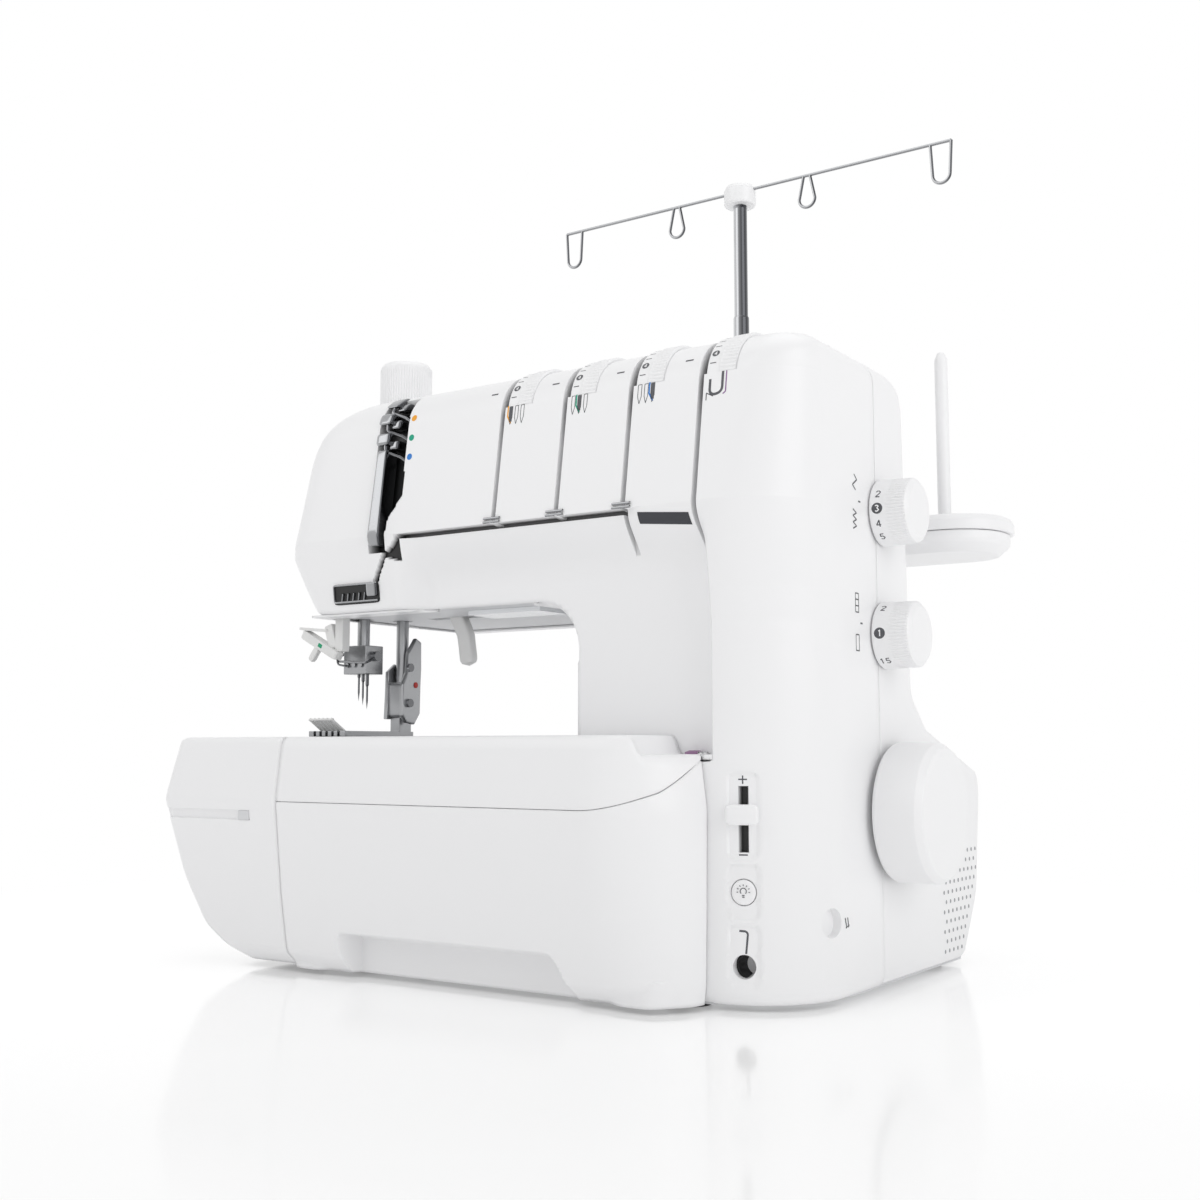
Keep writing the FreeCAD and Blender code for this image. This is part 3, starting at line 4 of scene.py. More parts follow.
import bmesh
import bpy
import numpy as np
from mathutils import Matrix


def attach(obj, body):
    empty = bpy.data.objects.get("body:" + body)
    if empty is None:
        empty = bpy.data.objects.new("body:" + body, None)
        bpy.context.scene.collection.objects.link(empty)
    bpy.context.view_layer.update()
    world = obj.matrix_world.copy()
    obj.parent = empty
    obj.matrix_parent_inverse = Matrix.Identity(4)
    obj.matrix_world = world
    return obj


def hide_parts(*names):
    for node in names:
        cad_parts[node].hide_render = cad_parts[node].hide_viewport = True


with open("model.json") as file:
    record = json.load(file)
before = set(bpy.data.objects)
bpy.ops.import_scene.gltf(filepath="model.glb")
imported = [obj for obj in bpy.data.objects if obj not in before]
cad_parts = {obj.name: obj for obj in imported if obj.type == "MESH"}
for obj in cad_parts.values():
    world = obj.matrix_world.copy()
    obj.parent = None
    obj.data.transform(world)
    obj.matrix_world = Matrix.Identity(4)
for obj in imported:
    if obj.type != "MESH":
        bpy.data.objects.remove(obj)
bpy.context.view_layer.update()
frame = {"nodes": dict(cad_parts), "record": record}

# Front casing: the white moulded shell of head, arm and column, open to the throat on the left.
# It is satin ABS about 1.2 mm thick; plan outlines are stacked from the underside up to the seam.
# Grooves, dial pockets, the set-back lower front and the control strip are pressed into the grid.
MM = 0.001
RIGHT, TOP, FLOOR_GAP, SEAM = 166.0, 306.5, 2.6, -10.0
ARM_LOW, CREASE, SHOULDER = 187.0, 226.0, 172.0
COLUMN_FRONT, ARM_FRONT, TILT, FRONT_ROUND = -96.0, -103.0, math.radians(8), 26.0
THROAT_X, THROAT_Z, THROAT_ROUND = 17.0, 162.0, 25.0
THROAT_WALL = THROAT_X + THROAT_ROUND
HEAD_FOOT, HEAD_SIDE, HEAD_BEND, HEAD_LEAN, HEAD_ROUND = -132.0, -149.0, 219.0, 11 / 87.5, 42.0
EDGE_ROUND, TOP_ROUND, FLOOR_ROUND, SHELL = 2.4, 14.0, 6.0, 1.2
SUNK_FACE, SUNK_LIP, GAP_LEFT, GAP_RIGHT, GAP_LOW, GAP_DEEP = -86.0, -99.5, -62.0, 80.0, 223.5, 7.0
DIAL_X = np.array([4.1, 42.6, 81.1, 119.6])
DIAL_WIDE, DIAL_Y, DIAL_Z, DIAL_ROUND = 16.0, -67.585, 282.0, 26.0
DIAL_SLOT_LOW, DIAL_SLOT_DEEP, DIAL_SLOT_END = 286.0, 12.0, DIAL_Y + 0.8 * DIAL_ROUND
GROOVE_HALF, THREAD_GROOVE_DEEP, GROOVE_FOOT = 1.3, 7.0, 205.0
POCKET_LEFT, POCKET_LOW, POCKET_HIGH, POCKET_DEEP, CHUTE_DEEP = -82.0, 217.0, 302.0, 8.0, 3.0
STRIP_X, STRIP_DEEP = 136.0, 1.2
KNEE_Z, KNEE_ROUND, LIGHT_Z, LIGHT_ROUND = 19.7, 5.2, 51.8, 5.9
SLOT_Z, SLOT_HALF_HIGH, SLOT_HALF_WIDE, SLOT_DEEP = 83.5, 14.5, 2.1, 7.0


def linear(code):
    """The linear colour of an sRGB hex code, with full alpha."""
    parts = np.array([int(code[i:i + 2], 16) / 255 for i in (1, 3, 5)])
    bright = ((parts + 0.055) / 1.055) ** 2.4
    return [*np.where(parts <= 0.04045, parts / 12.92, bright), 1.0]


def add_node(tree, kind, settings=None, links=None, **options):
    """Adds a shader node, sets its options and input values, and links its inputs."""
    node = tree.nodes.new(kind)
    for name, option in options.items():
        setattr(node, name, option)
    for socket, number in (settings or {}).items():
        node.inputs[socket].default_value = number
    for socket, source in (links or {}).items():
        tree.links.new(source, node.inputs[socket])
    return node


def surface(name, code, roughness, metallic=0.0, grain=0.05, size=900.0, **more):
    """A material whose fine noise wavers the gloss and lifts a shallow grain out of the surface."""
    material = bpy.data.materials.new(name)
    material.use_nodes = True
    tree = material.node_tree
    shader = tree.nodes["Principled BSDF"]
    settings = {"Base Color": linear(code), "Metallic": metallic, **more}
    for socket, number in settings.items():
        shader.inputs[socket].default_value = number
    coords = add_node(tree, "ShaderNodeTexCoord")
    noise = add_node(tree, "ShaderNodeTexNoise", {"Scale": size, "Detail": 2.0},
                     {"Vector": coords.outputs["Object"]})
    gloss = add_node(tree, "ShaderNodeMapRange", {"To Min": 0.8 * roughness, "To Max": 1.2 * roughness},
                     {"Value": noise.outputs["Fac"]})
    bump = add_node(tree, "ShaderNodeBump", {"Strength": grain, "Distance": 0.0002},
                    {"Height": noise.outputs["Fac"]})
    tree.links.new(gloss.outputs["Result"], shader.inputs["Roughness"])
    tree.links.new(bump.outputs["Normal"], shader.inputs["Normal"])
    return material


def shaded(material, code):
    """Darkens a material to a second colour, as painted shade, where the mesh's shade value rises to one."""
    tree = material.node_tree
    shader = tree.nodes["Principled BSDF"]
    depth = add_node(tree, "ShaderNodeAttribute", attribute_name="shade")
    mix = add_node(tree, "ShaderNodeMixRGB", {"Color1": shader.inputs["Base Color"].default_value,
                                              "Color2": linear(code)}, {"Fac": depth.outputs["Fac"]})
    tree.links.new(mix.outputs["Color"], shader.inputs["Base Color"])
    return material


def smooth(x, low, high):
    """The smooth step of x from low to high."""
    s = np.clip((x - low) / (high - low), 0, 1)
    return s * s * (3 - 2 * s)


def join(*parts, axis=0):
    """Values or grids set end to end along an axis."""
    return np.concatenate(parts, axis=axis)


def grid_of(x, y, z):
    """A grid of points from three coordinates, each spread over the shape that they share."""
    return np.stack(np.broadcast_arrays(x, y, z), axis=-1)


def quads(rows, columns, keep=None):
    """Corner numbers of the squares of a grid; keep is a mask of the squares that stay."""
    index = np.arange(rows * columns).reshape(rows, columns)
    squares = np.stack([index[:-1, :-1], index[:-1, 1:], index[1:, 1:], index[1:, :-1]], axis=-1)
    return squares[keep] if keep is not None else squares.reshape(-1, 4)


def skin(name, material, *sheets, thick=0.0, sharp=38):
    """One welded mesh from grids of points in millimetres, given as points or (points, shade, keep)."""
    points, faces, shades, count = [], [], [], 0
    for sheet in sheets:
        grid, shade, keep = sheet if isinstance(sheet, tuple) else (sheet, None, None)
        rows, columns = grid.shape[:2]
        faces.append(quads(rows, columns, keep) + count)
        points.append(grid.reshape(-1, 3) * MM)
        shades.append(np.zeros(rows * columns) if shade is None else
                      np.broadcast_to(shade, (rows, columns)).ravel())
        count += rows * columns
    mesh = bpy.data.meshes.new(name)
    mesh.from_pydata(np.concatenate(points).tolist(), [], np.concatenate(faces).tolist())
    layer = mesh.attributes.new("shade", "FLOAT", "POINT")
    layer.data.foreach_set("value", np.concatenate(shades).astype(np.float32))
    weld = bmesh.new()
    weld.from_mesh(mesh)
    bmesh.ops.remove_doubles(weld, verts=weld.verts, dist=0.00001)
    loose = [v for v in weld.verts if not v.link_faces]
    bmesh.ops.delete(weld, geom=loose, context="VERTS")
    weld.to_mesh(mesh)
    weld.free()
    mesh.shade_smooth()
    mesh.set_sharp_from_angle(angle=math.radians(sharp))
    mesh.materials.append(material)
    piece = bpy.data.objects.new(name, mesh)
    bpy.context.collection.objects.link(piece)
    if thick:
        wall = piece.modifiers.new("wall", "SOLIDIFY")
        wall.thickness = thick * MM
        wall.offset = -1
    return piece


def place(piece, body, slot, *nodes):
    """Lets a piece ride its body and stand for its CAD nodes, which it hides; slot is not used."""
    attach(piece, body)
    if nodes:
        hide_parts(*nodes)
    return piece


def quarter(count):
    """Evenly spaced angles over a quarter turn."""
    return np.linspace(0, math.pi / 2, count)


def marks(centres, reach, fine=0.08):
    """Grid lines hugging both sides of edges at centres plus and minus reach."""
    edges = np.add.outer(np.atleast_1d(centres), [-reach, reach]).ravel()
    return join(edges - fine, edges + fine)


def front_face(z):
    """Front of the full casing at height z: upright, then leaning out to the crease, then back."""
    lower = COLUMN_FRONT + (ARM_FRONT - COLUMN_FRONT) * np.clip((z - SHOULDER) / (CREASE - SHOULDER), 0, 1)
    return lower + np.clip(z - CREASE, 0, None) * math.tan(TILT)


def throat_gap(x, z):
    """Distance of a point of the front from the throat's outline, an inside corner with a round."""
    around = np.hypot(np.maximum(x - THROAT_X, 0), np.maximum(z - THROAT_Z, 0)) - THROAT_ROUND
    return np.where(x <= THROAT_X, z - ARM_LOW, np.where(z <= THROAT_Z, x - THROAT_X - THROAT_ROUND, around))


def circle(radius, across):
    """Height of a circle of some radius at a distance across from its middle."""
    return np.sqrt(np.maximum(radius ** 2 - across ** 2, 0))


def rolled(gap, radius=EDGE_ROUND):
    """How far a rounded edge falls back at a distance from its outline."""
    return radius - circle(radius, radius - np.clip(gap, 0, radius))


def recessed(x, z):
    """Front with the set-back area under the crease, blended at its ends, and the shadow gap."""
    full = front_face(z)
    plain = smooth(x, 78, 88)
    lip = SUNK_LIP * (1 - plain) + ARM_FRONT * plain
    sunk = SUNK_FACE + (lip - SUNK_FACE) * smooth(z, 195, 225) ** 1.3
    end = 117 - 14 * (z < 109.5)
    inside = smooth(x, -66, -48) * (1 - smooth(x, end, end + 6))
    y = full + inside * (sunk - full) * (z < CREASE - 0.01)
    gap = (x > GAP_LEFT) & (x < GAP_RIGHT) & (z > GAP_LOW) & (z < CREASE - 0.15)
    return np.where(gap, ARM_FRONT + GAP_DEEP, y), gap


groove_x = DIAL_X - 3.1 + GROOVE_HALF
# Close grid lines hug the throat's corner, the ends of the set-back area and the holes of the strip
EDGE_LINES = [THROAT_X, 17.6, 18.6, 20, GAP_LEFT, GAP_RIGHT, THROAT_WALL, 42.4, 43, 44, 45.5, 47]
HOLE_LINES = [130.23, 130.39, 130.91, 131.07, 136.4]
front_x = np.unique(np.round(join(
    np.arange(-95, 136, 4.0), marks(groove_x, GROOVE_HALF),
    marks(DIAL_X + DIAL_WIDE / 2, DIAL_WIDE / 2 + 0.5), np.arange(-94.6, -57, 0.9),
    np.arange(112, 136.4, 1.0), EDGE_LINES, HOLE_LINES), 3))
ARC = 46.0
ARC_START = RIGHT - ARC
corner_from = ARC_START + ARC * math.asin((front_x[-1] - ARC_START) / ARC)
corner_to = ARC_START + ARC * math.pi / 2
strip_t = ARC_START + ARC * math.asin((STRIP_X - ARC_START) / ARC)
ACCESS_T, ACCESS_Z, ACCESS_ROUND = 179.0, 37.5, 6.5
corner_t = np.unique(join(
    np.arange(corner_from + 1.1, 146, 1.1), np.linspace(146, corner_to, 24),
    marks(ACCESS_T, ACCESS_ROUND, 0.15), strip_t + np.array([5.12, 5.28, 5.82, 5.98])))
corner_share = (corner_t - corner_from) / (corner_to - corner_from)
wall_share = join(np.linspace(0, 1, 9)[1:-1], [0.985, 0.993, 1.0])
seam_curl = join(np.zeros(8), [0.15, 0.9])


def right_part(front, radius, right):
    """Rest of each outline after the last x column: round corner, then wall to the seam."""
    start = front_x[-1] - (right - radius)
    straight = np.maximum(-start, 0)
    first = np.arcsin(np.clip(start / radius, 0, 1))
    length = straight + radius * (math.pi / 2 - first)
    run = corner_share * length
    turn = first + np.maximum(run - straight, 0) / radius
    x = np.where(run < straight, front_x[-1] + run, right - radius + radius * np.sin(turn))
    y = front + radius - radius * np.cos(turn)
    wall_y = front + radius + (SEAM - front - radius) * wall_share
    return (join(x, right - seam_curl + 0 * wall_y, axis=1),
            join(y, wall_y, axis=1))


def arm_rows():
    """Height, front, inward normal of each row: up the front, round its top edge, back to the seam."""
    low = np.unique(join(
        [ARM_LOW, 187.3, 187.9, 188.8, 190.2], np.arange(191, 222, 1.0),
        [222.3, 223.0, 223.45, 223.55, 225.8, 225.9]))
    flat_end = TOP - FRONT_ROUND + FRONT_ROUND * math.sin(TILT)
    panel = np.unique(join(
        [CREASE, 226.4], np.arange(227, 250, 1.1), np.arange(250, flat_end, 2.5), [flat_end]))
    z = join(low, panel)
    y = front_face(z)
    normal = np.where(z < CREASE, 0.0, TILT)
    centre = front_face(TOP - FRONT_ROUND) + FRONT_ROUND / math.cos(TILT)
    turn = np.unique(join(np.radians(np.linspace(8, 90, 25)), np.arcsin(
        (np.array([285.9, 286.1, 299.9, 300.1]) - TOP + FRONT_ROUND) / FRONT_ROUND)))[1:]
    flat = np.unique(join(
        np.linspace(centre, SEAM - 1, 14)[1:],
        [DIAL_SLOT_END - 0.1, DIAL_SLOT_END + 0.1, SEAM - 0.5, SEAM - 0.15]))
    return (join(z, TOP - FRONT_ROUND + FRONT_ROUND * np.sin(turn), TOP + 0 * flat),
            join(y, centre - FRONT_ROUND * np.cos(turn), flat),
            join(normal, turn, math.pi / 2 + 0 * flat))


def head_left(z):
    """Left limit of the head: a leaning foot, a leaning side and a large round into the top."""
    foot = np.clip((z - ARM_LOW) / (HEAD_BEND - ARM_LOW), 0, 1) ** 0.8
    side = np.where(z < HEAD_BEND, HEAD_FOOT - (HEAD_FOOT - HEAD_SIDE) * foot,
                    HEAD_SIDE + (z - HEAD_BEND) * HEAD_LEAN)
    angle = math.atan(HEAD_LEAN)
    centre = HEAD_SIDE + (TOP - HEAD_ROUND - HEAD_BEND) * HEAD_LEAN + HEAD_ROUND / math.cos(angle)
    above = np.clip(z - TOP + HEAD_ROUND, 0, HEAD_ROUND)
    return np.where(above > HEAD_ROUND * math.sin(angle), centre - circle(HEAD_ROUND, above), side)


def corner_round(z):
    """Plan radius of the right front corner, tightening towards the top."""
    return np.interp(z, [ARM_LOW, CREASE, 286, TOP], [46, 40, 28, TOP_ROUND])


def right_side(z):
    """Right limit with its rounded top edge."""
    return RIGHT - TOP_ROUND + circle(TOP_ROUND, np.clip(z - TOP + TOP_ROUND, 0, TOP_ROUND))


left_share = np.linspace(0, 1, 14)
left_wall_share = join([0, 0.012, 0.03], np.linspace(0, 1, 10)[1:-1])
left_curl = join([0.9, 0.15, 0], np.zeros(8))


def left_part(front, radius, left):
    """Start of each outline: wall from the seam, then the left corner up to the first x column."""
    wall_y = SEAM + (front + radius - SEAM) * left_wall_share
    straight = front_x[0] - left - radius
    run = left_share[:-1] * (radius * math.pi / 2 + straight)
    turn = np.minimum(run / radius, math.pi / 2)
    x = left + radius - radius * np.cos(turn) + np.maximum(run - radius * math.pi / 2, 0)
    y = front + radius - radius * np.sin(turn)
    return (join(left + left_curl + 0 * wall_y, x, axis=1),
            join(wall_y, y, axis=1))


# Arm and head: each row is a plan outline; depths are pressed in along the row's own normal
row_z, row_front, row_turn = (rows[:, None] for rows in arm_rows())
room = (SEAM - row_front) * 0.98
left_limit = head_left(row_z) + rolled(row_z - ARM_LOW)
left_round = np.minimum(np.minimum(20.0, (front_x[0] - left_limit) * 0.97), room)
right_round = np.minimum(corner_round(row_z), room)
left_x, left_y = left_part(row_front + rolled(row_z - ARM_LOW), left_round, left_limit)
right_x, right_y = right_part(row_front, right_round, right_side(row_z))
middle_x = np.broadcast_to(front_x, (len(row_z), len(front_x)))
sunk_y, shadow_gap = recessed(middle_x, row_z)
over = np.clip(middle_x - (right_side(row_z) - right_round), 0, right_round)
bend = right_round - circle(right_round, over)
middle_y = np.where(row_z < CREASE, sunk_y, row_front) + bend + rolled(throat_gap(middle_x, row_z))
in_groove = np.abs(middle_x[..., None] - groove_x) < GROOVE_HALF
slot_rows = (row_z > DIAL_SLOT_LOW) & (row_front < DIAL_SLOT_END)
groove_low = np.array([CREASE, CREASE, GROOVE_FOOT, GROOVE_FOOT])
groove_rows = (row_z[..., None] > groove_low) & (row_front[..., None] < DIAL_Y)
fade = np.where(groove_low < CREASE, smooth(row_z[..., None], 203, 222), 1.0)
groove_deep = THREAD_GROOVE_DEEP * (in_groove & groove_rows) * fade
in_slot = (np.abs(middle_x[..., None] - DIAL_X - DIAL_WIDE / 2) < DIAL_WIDE / 2 + 0.5).any(-1) & slot_rows
# Pocket of the thread hooks and the bent chute that leads from it to the comb, coloured near black as
# painted shade
pocket_right = np.interp(row_z, [POCKET_LOW, 233.6, 247, POCKET_HIGH], [-71, -70, -61, -62.3])
pocket = ((middle_x > POCKET_LEFT) & (middle_x < pocket_right)
          & (row_z > POCKET_LOW) & (row_z < POCKET_HIGH))
chute = (np.abs(middle_x + 72 - (row_z - 214.7) * 0.52) < 1.5) & (row_z > 201) & (row_z < 218)
chute |= ((row_z > 212 + (-60.4 - middle_x) * 0.25) & (row_z < 224)
          & (middle_x < -60.4) & (middle_x > -72 + (row_z - 214.7)))
painted_shade_holes = pocket | chute
depth = np.maximum(np.maximum(groove_deep.max(-1), DIAL_SLOT_DEEP * in_slot),
                   POCKET_DEEP * pocket + CHUTE_DEEP * (chute & ~pocket))
middle_y = middle_y + depth * np.cos(row_turn)
middle_z = row_z - depth * np.sin(row_turn)
seam_drop = 0.9 * smooth(row_front, SEAM - 0.4, SEAM - 0.15)
arm_sheet = np.stack([
    join(left_x, middle_x, right_x, axis=1),
    join(left_y, middle_y, right_y, axis=1),
    join(row_z + 0 * left_x, middle_z, row_z + 0 * right_x, axis=1) - seam_drop], axis=-1)
# Painted shade: the grooves grow darker towards their deep upper ends, and the shadow gap is painted near
# black
groove_painted_shade = (in_groove & groove_rows).any(-1) * (0.25 + 0.7 * smooth(row_z, 262, 284))
arm_shade = np.maximum(np.maximum(painted_shade_holes, 0.9 * shadow_gap), groove_painted_shade)
arm_shade = join(0 * left_x, arm_shade, 0 * right_x, axis=1)


def pressed(t, z, centre, high, radius, deep):
    """Bends the grid near a centre into a circle and gives the depth of a round hole there."""
    du, dz = t - centre, z - high
    square = np.maximum(np.abs(du), np.abs(dz))
    ratio = square / np.maximum(np.hypot(du, dz), 1e-9)
    blend = 1 - smooth(square, radius + 0.1, 2 * radius)
    scale = 1 + (ratio - 1) * blend
    return centre + du * scale, high + dz * scale, deep * (square < radius)


def throat_wall(z):
    """Left limit of the column at height z, curving over into the arm's underside."""
    return THROAT_X + circle(THROAT_ROUND, np.clip(z - THROAT_Z, 0, None))


# Column: an unrolled grid bent round the front corner, with round holes and the strip pressed in
HOLES = ((strip_t, KNEE_Z, KNEE_ROUND, 14.0), (strip_t, LIGHT_Z, LIGHT_ROUND, 3.0),
         (ACCESS_T, ACCESS_Z, ACCESS_ROUND, 4.0))
STRIP_PANELS = ((85.2, 15.2), (LIGHT_Z, 8.6), (24.6, 9.6))
column_x = front_x[front_x >= THROAT_X]
column_t = np.where(column_x > ARC_START, ARC_START + ARC * np.arcsin(
    np.clip((column_x - ARC_START) / ARC, 0, 1)), column_x)
column_t = np.unique(join(column_t, corner_t))
column_z = np.unique(np.round(join(
    FLOOR_GAP + FLOOR_ROUND * (1 - np.cos(quarter(8))), np.arange(9, 112, 1.2),
    np.arange(112, THROAT_Z, 3.0), THROAT_Z + THROAT_ROUND * np.sin(quarter(24)),
    marks(KNEE_Z, KNEE_ROUND), marks(LIGHT_Z, LIGHT_ROUND), marks(ACCESS_Z, ACCESS_ROUND),
    marks(SLOT_Z, SLOT_HALF_HIGH)), 3))
t, z = np.meshgrid(column_t, column_z)
deep = np.zeros_like(t)
for centre, high, radius, amount in HOLES:
    t, z, hole = pressed(t, z, centre, high, radius, amount)
    deep = np.maximum(deep, hole)
for middle, half in STRIP_PANELS:
    strip = np.hypot(np.clip(np.abs(t - strip_t) - 3.6, 0, None),
                     np.clip(np.abs(z - middle) - half, 0, None))
    deep = np.maximum(deep, STRIP_DEEP * (1 - smooth(strip, 2.9, 3.9)))
slot = (np.abs(t - strip_t) < SLOT_HALF_WIDE) & (np.abs(z - SLOT_Z) < SLOT_HALF_HIGH)
deep = np.maximum(deep, SLOT_DEEP * slot)
t = np.maximum(t, throat_wall(z))
inset = rolled(z - FLOOR_GAP, FLOOR_ROUND)
turn = np.clip((t - ARC_START) / ARC, 0, math.pi / 2)
sunk_y = recessed(np.minimum(t, 125), z)[0]
reach = ARC - inset - deep
column_points_x = np.where(t < ARC_START, t, ARC_START + reach * np.sin(turn))
column_points_y = np.where(t < ARC_START, sunk_y + inset + deep,
                           sunk_y + ARC - reach * np.cos(turn)) + rolled(throat_gap(t, z))
column_wall_y = (front_face(z[:, :1]) + ARC) + (SEAM - front_face(z[:, :1]) - ARC) * wall_share
column_sheet = np.stack([
    join(column_points_x, RIGHT - inset[:, :1] - seam_curl + 0 * column_wall_y, axis=1),
    join(column_points_y, column_wall_y, axis=1),
    join(z, z[:, :1] + 0 * column_wall_y, axis=1)], axis=-1)
# The strip's slot is painted near black by the shade value: painted shade of its inside
column_shade = join(1.0 * slot, 0 * column_wall_y, axis=1)

# Underside of the arm and wall of the throat, open where a plate closes the arm from below
UNDER_LEFT, UNDER_RIGHT, UNDER_FRONT, UNDER_REAR = -127.0, 14.0, -83.6, 28.0
path_x = join([HEAD_FOOT + EDGE_ROUND, UNDER_LEFT - 0.05],
              np.linspace(UNDER_LEFT, UNDER_RIGHT, 60), [UNDER_RIGHT + 0.05],
              THROAT_X + THROAT_ROUND * np.sin(quarter(24)), np.full(40, THROAT_WALL))
path_z = join(np.full(63, ARM_LOW), THROAT_Z + THROAT_ROUND * np.cos(quarter(24)),
              np.linspace(160, FLOOR_GAP, 40))
over_plate = (path_z >= ARM_LOW) & (path_x >= UNDER_LEFT) & (path_x <= UNDER_RIGHT)
near_edge = recessed(path_x, path_z + 0.01)[0] + EDGE_ROUND
far_edge = np.where(over_plate, np.maximum(near_edge, UNDER_FRONT), SEAM)


def under_sheet(near, far):
    """Underside of the arm and wall of the throat, ruled between two edges along the outline."""
    y = near + (far - near) * np.linspace(0, 1, 13)[:, None]
    return grid_of(path_x, y, path_z)


# White satin ABS: an almost white moulded skin with a faint grain that softens the highlights
# Its near-black second colour is painted shade, laid by the shade value in pockets, slits, grooves and the
# shadow gap
white_abs = shaded(surface("white satin ABS", "#F6F6F7", 0.34, grain=0.04), "#121213")
front_casing = skin("front_casing", white_abs, (arm_sheet, arm_shade, None),
                    (column_sheet, column_shade, None), under_sheet(near_edge, far_edge), thick=SHELL)
place(front_casing, "machine", "white_shell", "front_cover", "column_cover")

# Rear casing: the white ABS back of head, arm and column, with the bulged motor housing at its foot.
# Outlines are stacked like the front's; they run from the right seam round the back to the left seam.
REAR_TOP, REAR_ROUND, REAR_CORNER = 35.0, 25.0, 14.0
REAR_LEAN, REAR_HIGH = 6.0, 165.5
INLET_LEFT, INLET_RIGHT, INLET_LOW, INLET_HIGH = 125.8, 154.5, 57.8, 80.2


def softened(points, radii, steps=7):
    """A polyline with its corners replaced by arcs of the given radii."""
    points = np.array(points, float)
    line = [points[:1]]
    for before, at, after, radius in zip(points, points[1:], points[2:], radii):
        a, b = before - at, after - at
        a, b = a / np.linalg.norm(a), b / np.linalg.norm(b)
        half = math.acos(np.clip(a @ b, -1, 1)) / 2
        centre = at + (a + b) / np.linalg.norm(a + b) * radius / math.sin(half)
        start, end = at + a * radius / math.tan(half) - centre, at + b * radius / math.tan(half) - centre
        angle = math.acos(np.clip(start @ end / radius ** 2, -1, 1))
        share = np.linspace(0, 1, steps)[:, None]
        arc = np.sin((1 - share) * angle) * start + np.sin(share * angle) * end
        line.append(centre + arc / math.sin(angle))
    line.append(points[-1:])
    return np.concatenate(line)


def filled(line, step):
    """A polyline with points added so that none of its runs is longer than a step."""
    runs = np.linalg.norm(np.diff(line, axis=0), axis=1)
    along = join([0], np.cumsum(runs))
    extra = [np.linspace(a, b, max(math.ceil((b - a) / step), 1) + 1)[1:]
             for a, b in zip(along, along[1:])]
    spots = join([0], *extra)
    return np.stack([np.interp(spots, along, line[:, i]) for i in range(line.shape[1])], axis=1)


def rear_side(z):
    """Back of the upper casing at height z, leaning out towards its foot."""
    return REAR_TOP + REAR_LEAN * (TOP - z) / REAR_HIGH


lean = math.atan(REAR_LEAN / REAR_HIGH)
rear_centre = rear_side(TOP - REAR_ROUND) - REAR_ROUND / math.cos(lean)
rear_turn = np.linspace(lean, math.pi / 2, 26)
upper_z = join(np.linspace(ARM_LOW, TOP - REAR_ROUND, 34)[:-1],
               TOP - REAR_ROUND + REAR_ROUND * np.sin(rear_turn), np.full(9, TOP))[:, None]
upper_y = join(rear_side(np.linspace(ARM_LOW, TOP - REAR_ROUND, 34)[:-1]),
               rear_centre + REAR_ROUND * np.cos(rear_turn),
               [8, 5, 1, -3, -6, -8, -9, SEAM + 0.5, SEAM + 0.15])[:, None]
lower_line = filled(softened([(rear_side(ARM_LOW), ARM_LOW), (41, 141), (60, 124), (134, 101), (137, 91),
                              (129, 36), (106, FLOOR_GAP)], [14, 9, 7, 20, 40]), 3.0)[::-1]
lower_z = np.unique(join(lower_line[:, 1], [INLET_LOW, INLET_HIGH]))[:, None]
lower_y = np.interp(lower_z, lower_line[:, 1], lower_line[:, 0])


def back_outline(rear, right, left, right_round, left_round, across):
    """Outline from the right seam along the right wall, across the back and along the left wall."""
    room = (rear - SEAM) * 0.98
    right_round, left_round = np.minimum(right_round, room), np.minimum(left_round, room)
    share = join([0, 0.01, 0.025], np.linspace(0, 1, 14)[1:])
    curl = join([0.9, 0.15, 0], np.zeros(13))
    turn = quarter(10)[1:-1]
    wall_y = SEAM + (rear - right_round - SEAM) * share
    x = join(right - curl + 0 * wall_y, right - right_round * (1 - np.cos(turn)),
             right - right_round + (left + left_round - right + right_round) * across,
             left + left_round * (1 - np.sin(turn)),
             left + curl[::-1] + 0 * wall_y, axis=1)
    left_y = SEAM + (rear - left_round - SEAM) * share[::-1]
    y = join(wall_y, rear - right_round * (1 - np.sin(turn)), rear + 0 * across,
             rear - left_round * (1 - np.cos(turn)), left_y, axis=1)
    return x, y


upper_left = head_left(upper_z)
rear_x, rear_y = back_outline(upper_y, right_side(upper_z), upper_left, REAR_CORNER,
                              np.minimum(20.0, (SEAM - upper_y) * -0.97), np.linspace(0, 1, 60))
drop = 0.9 * (1 - smooth(upper_y, SEAM + 0.15, SEAM + 0.5))
rear_upper = grid_of(rear_x, rear_y, upper_z - drop)
foot = rolled(lower_z - FLOOR_GAP, 5.0)
low_left = throat_wall(lower_z)
to_inlet = (RIGHT - REAR_CORNER - INLET_LEFT) / (RIGHT - REAR_CORNER - THROAT_X - THROAT_ROUND - 6.0)
rear_x, rear_y = back_outline(lower_y - foot, RIGHT - foot, low_left + foot, REAR_CORNER, 6.0,
                              np.unique(np.append(np.linspace(0, 1, 40), to_inlet)))
cell_x, cell_z = (rear_x[:-1, 1:] + rear_x[1:, :-1]) / 2, (lower_z[1:] + lower_z[:-1]) / 2
inlet = (cell_x > INLET_LEFT) & (cell_x < INLET_RIGHT) & (cell_z > INLET_LOW) & (cell_z < INLET_HIGH)
inlet &= rear_y[:-1, :-1] > 100
rear_lower = grid_of(rear_x, rear_y, lower_z)
under_far = rear_side(ARM_LOW) + 0 * path_x
under_near = np.where(over_plate, UNDER_REAR, SEAM)
under_rows = path_z >= ARM_LOW
rear_under = under_sheet(under_near, under_far)[:, under_rows]
rear_casing = skin("rear_casing", white_abs, rear_upper, (rear_lower, None, ~inlet), rear_under, thick=SHELL)
place(rear_casing, "machine", "white_shell", "rear_cover")

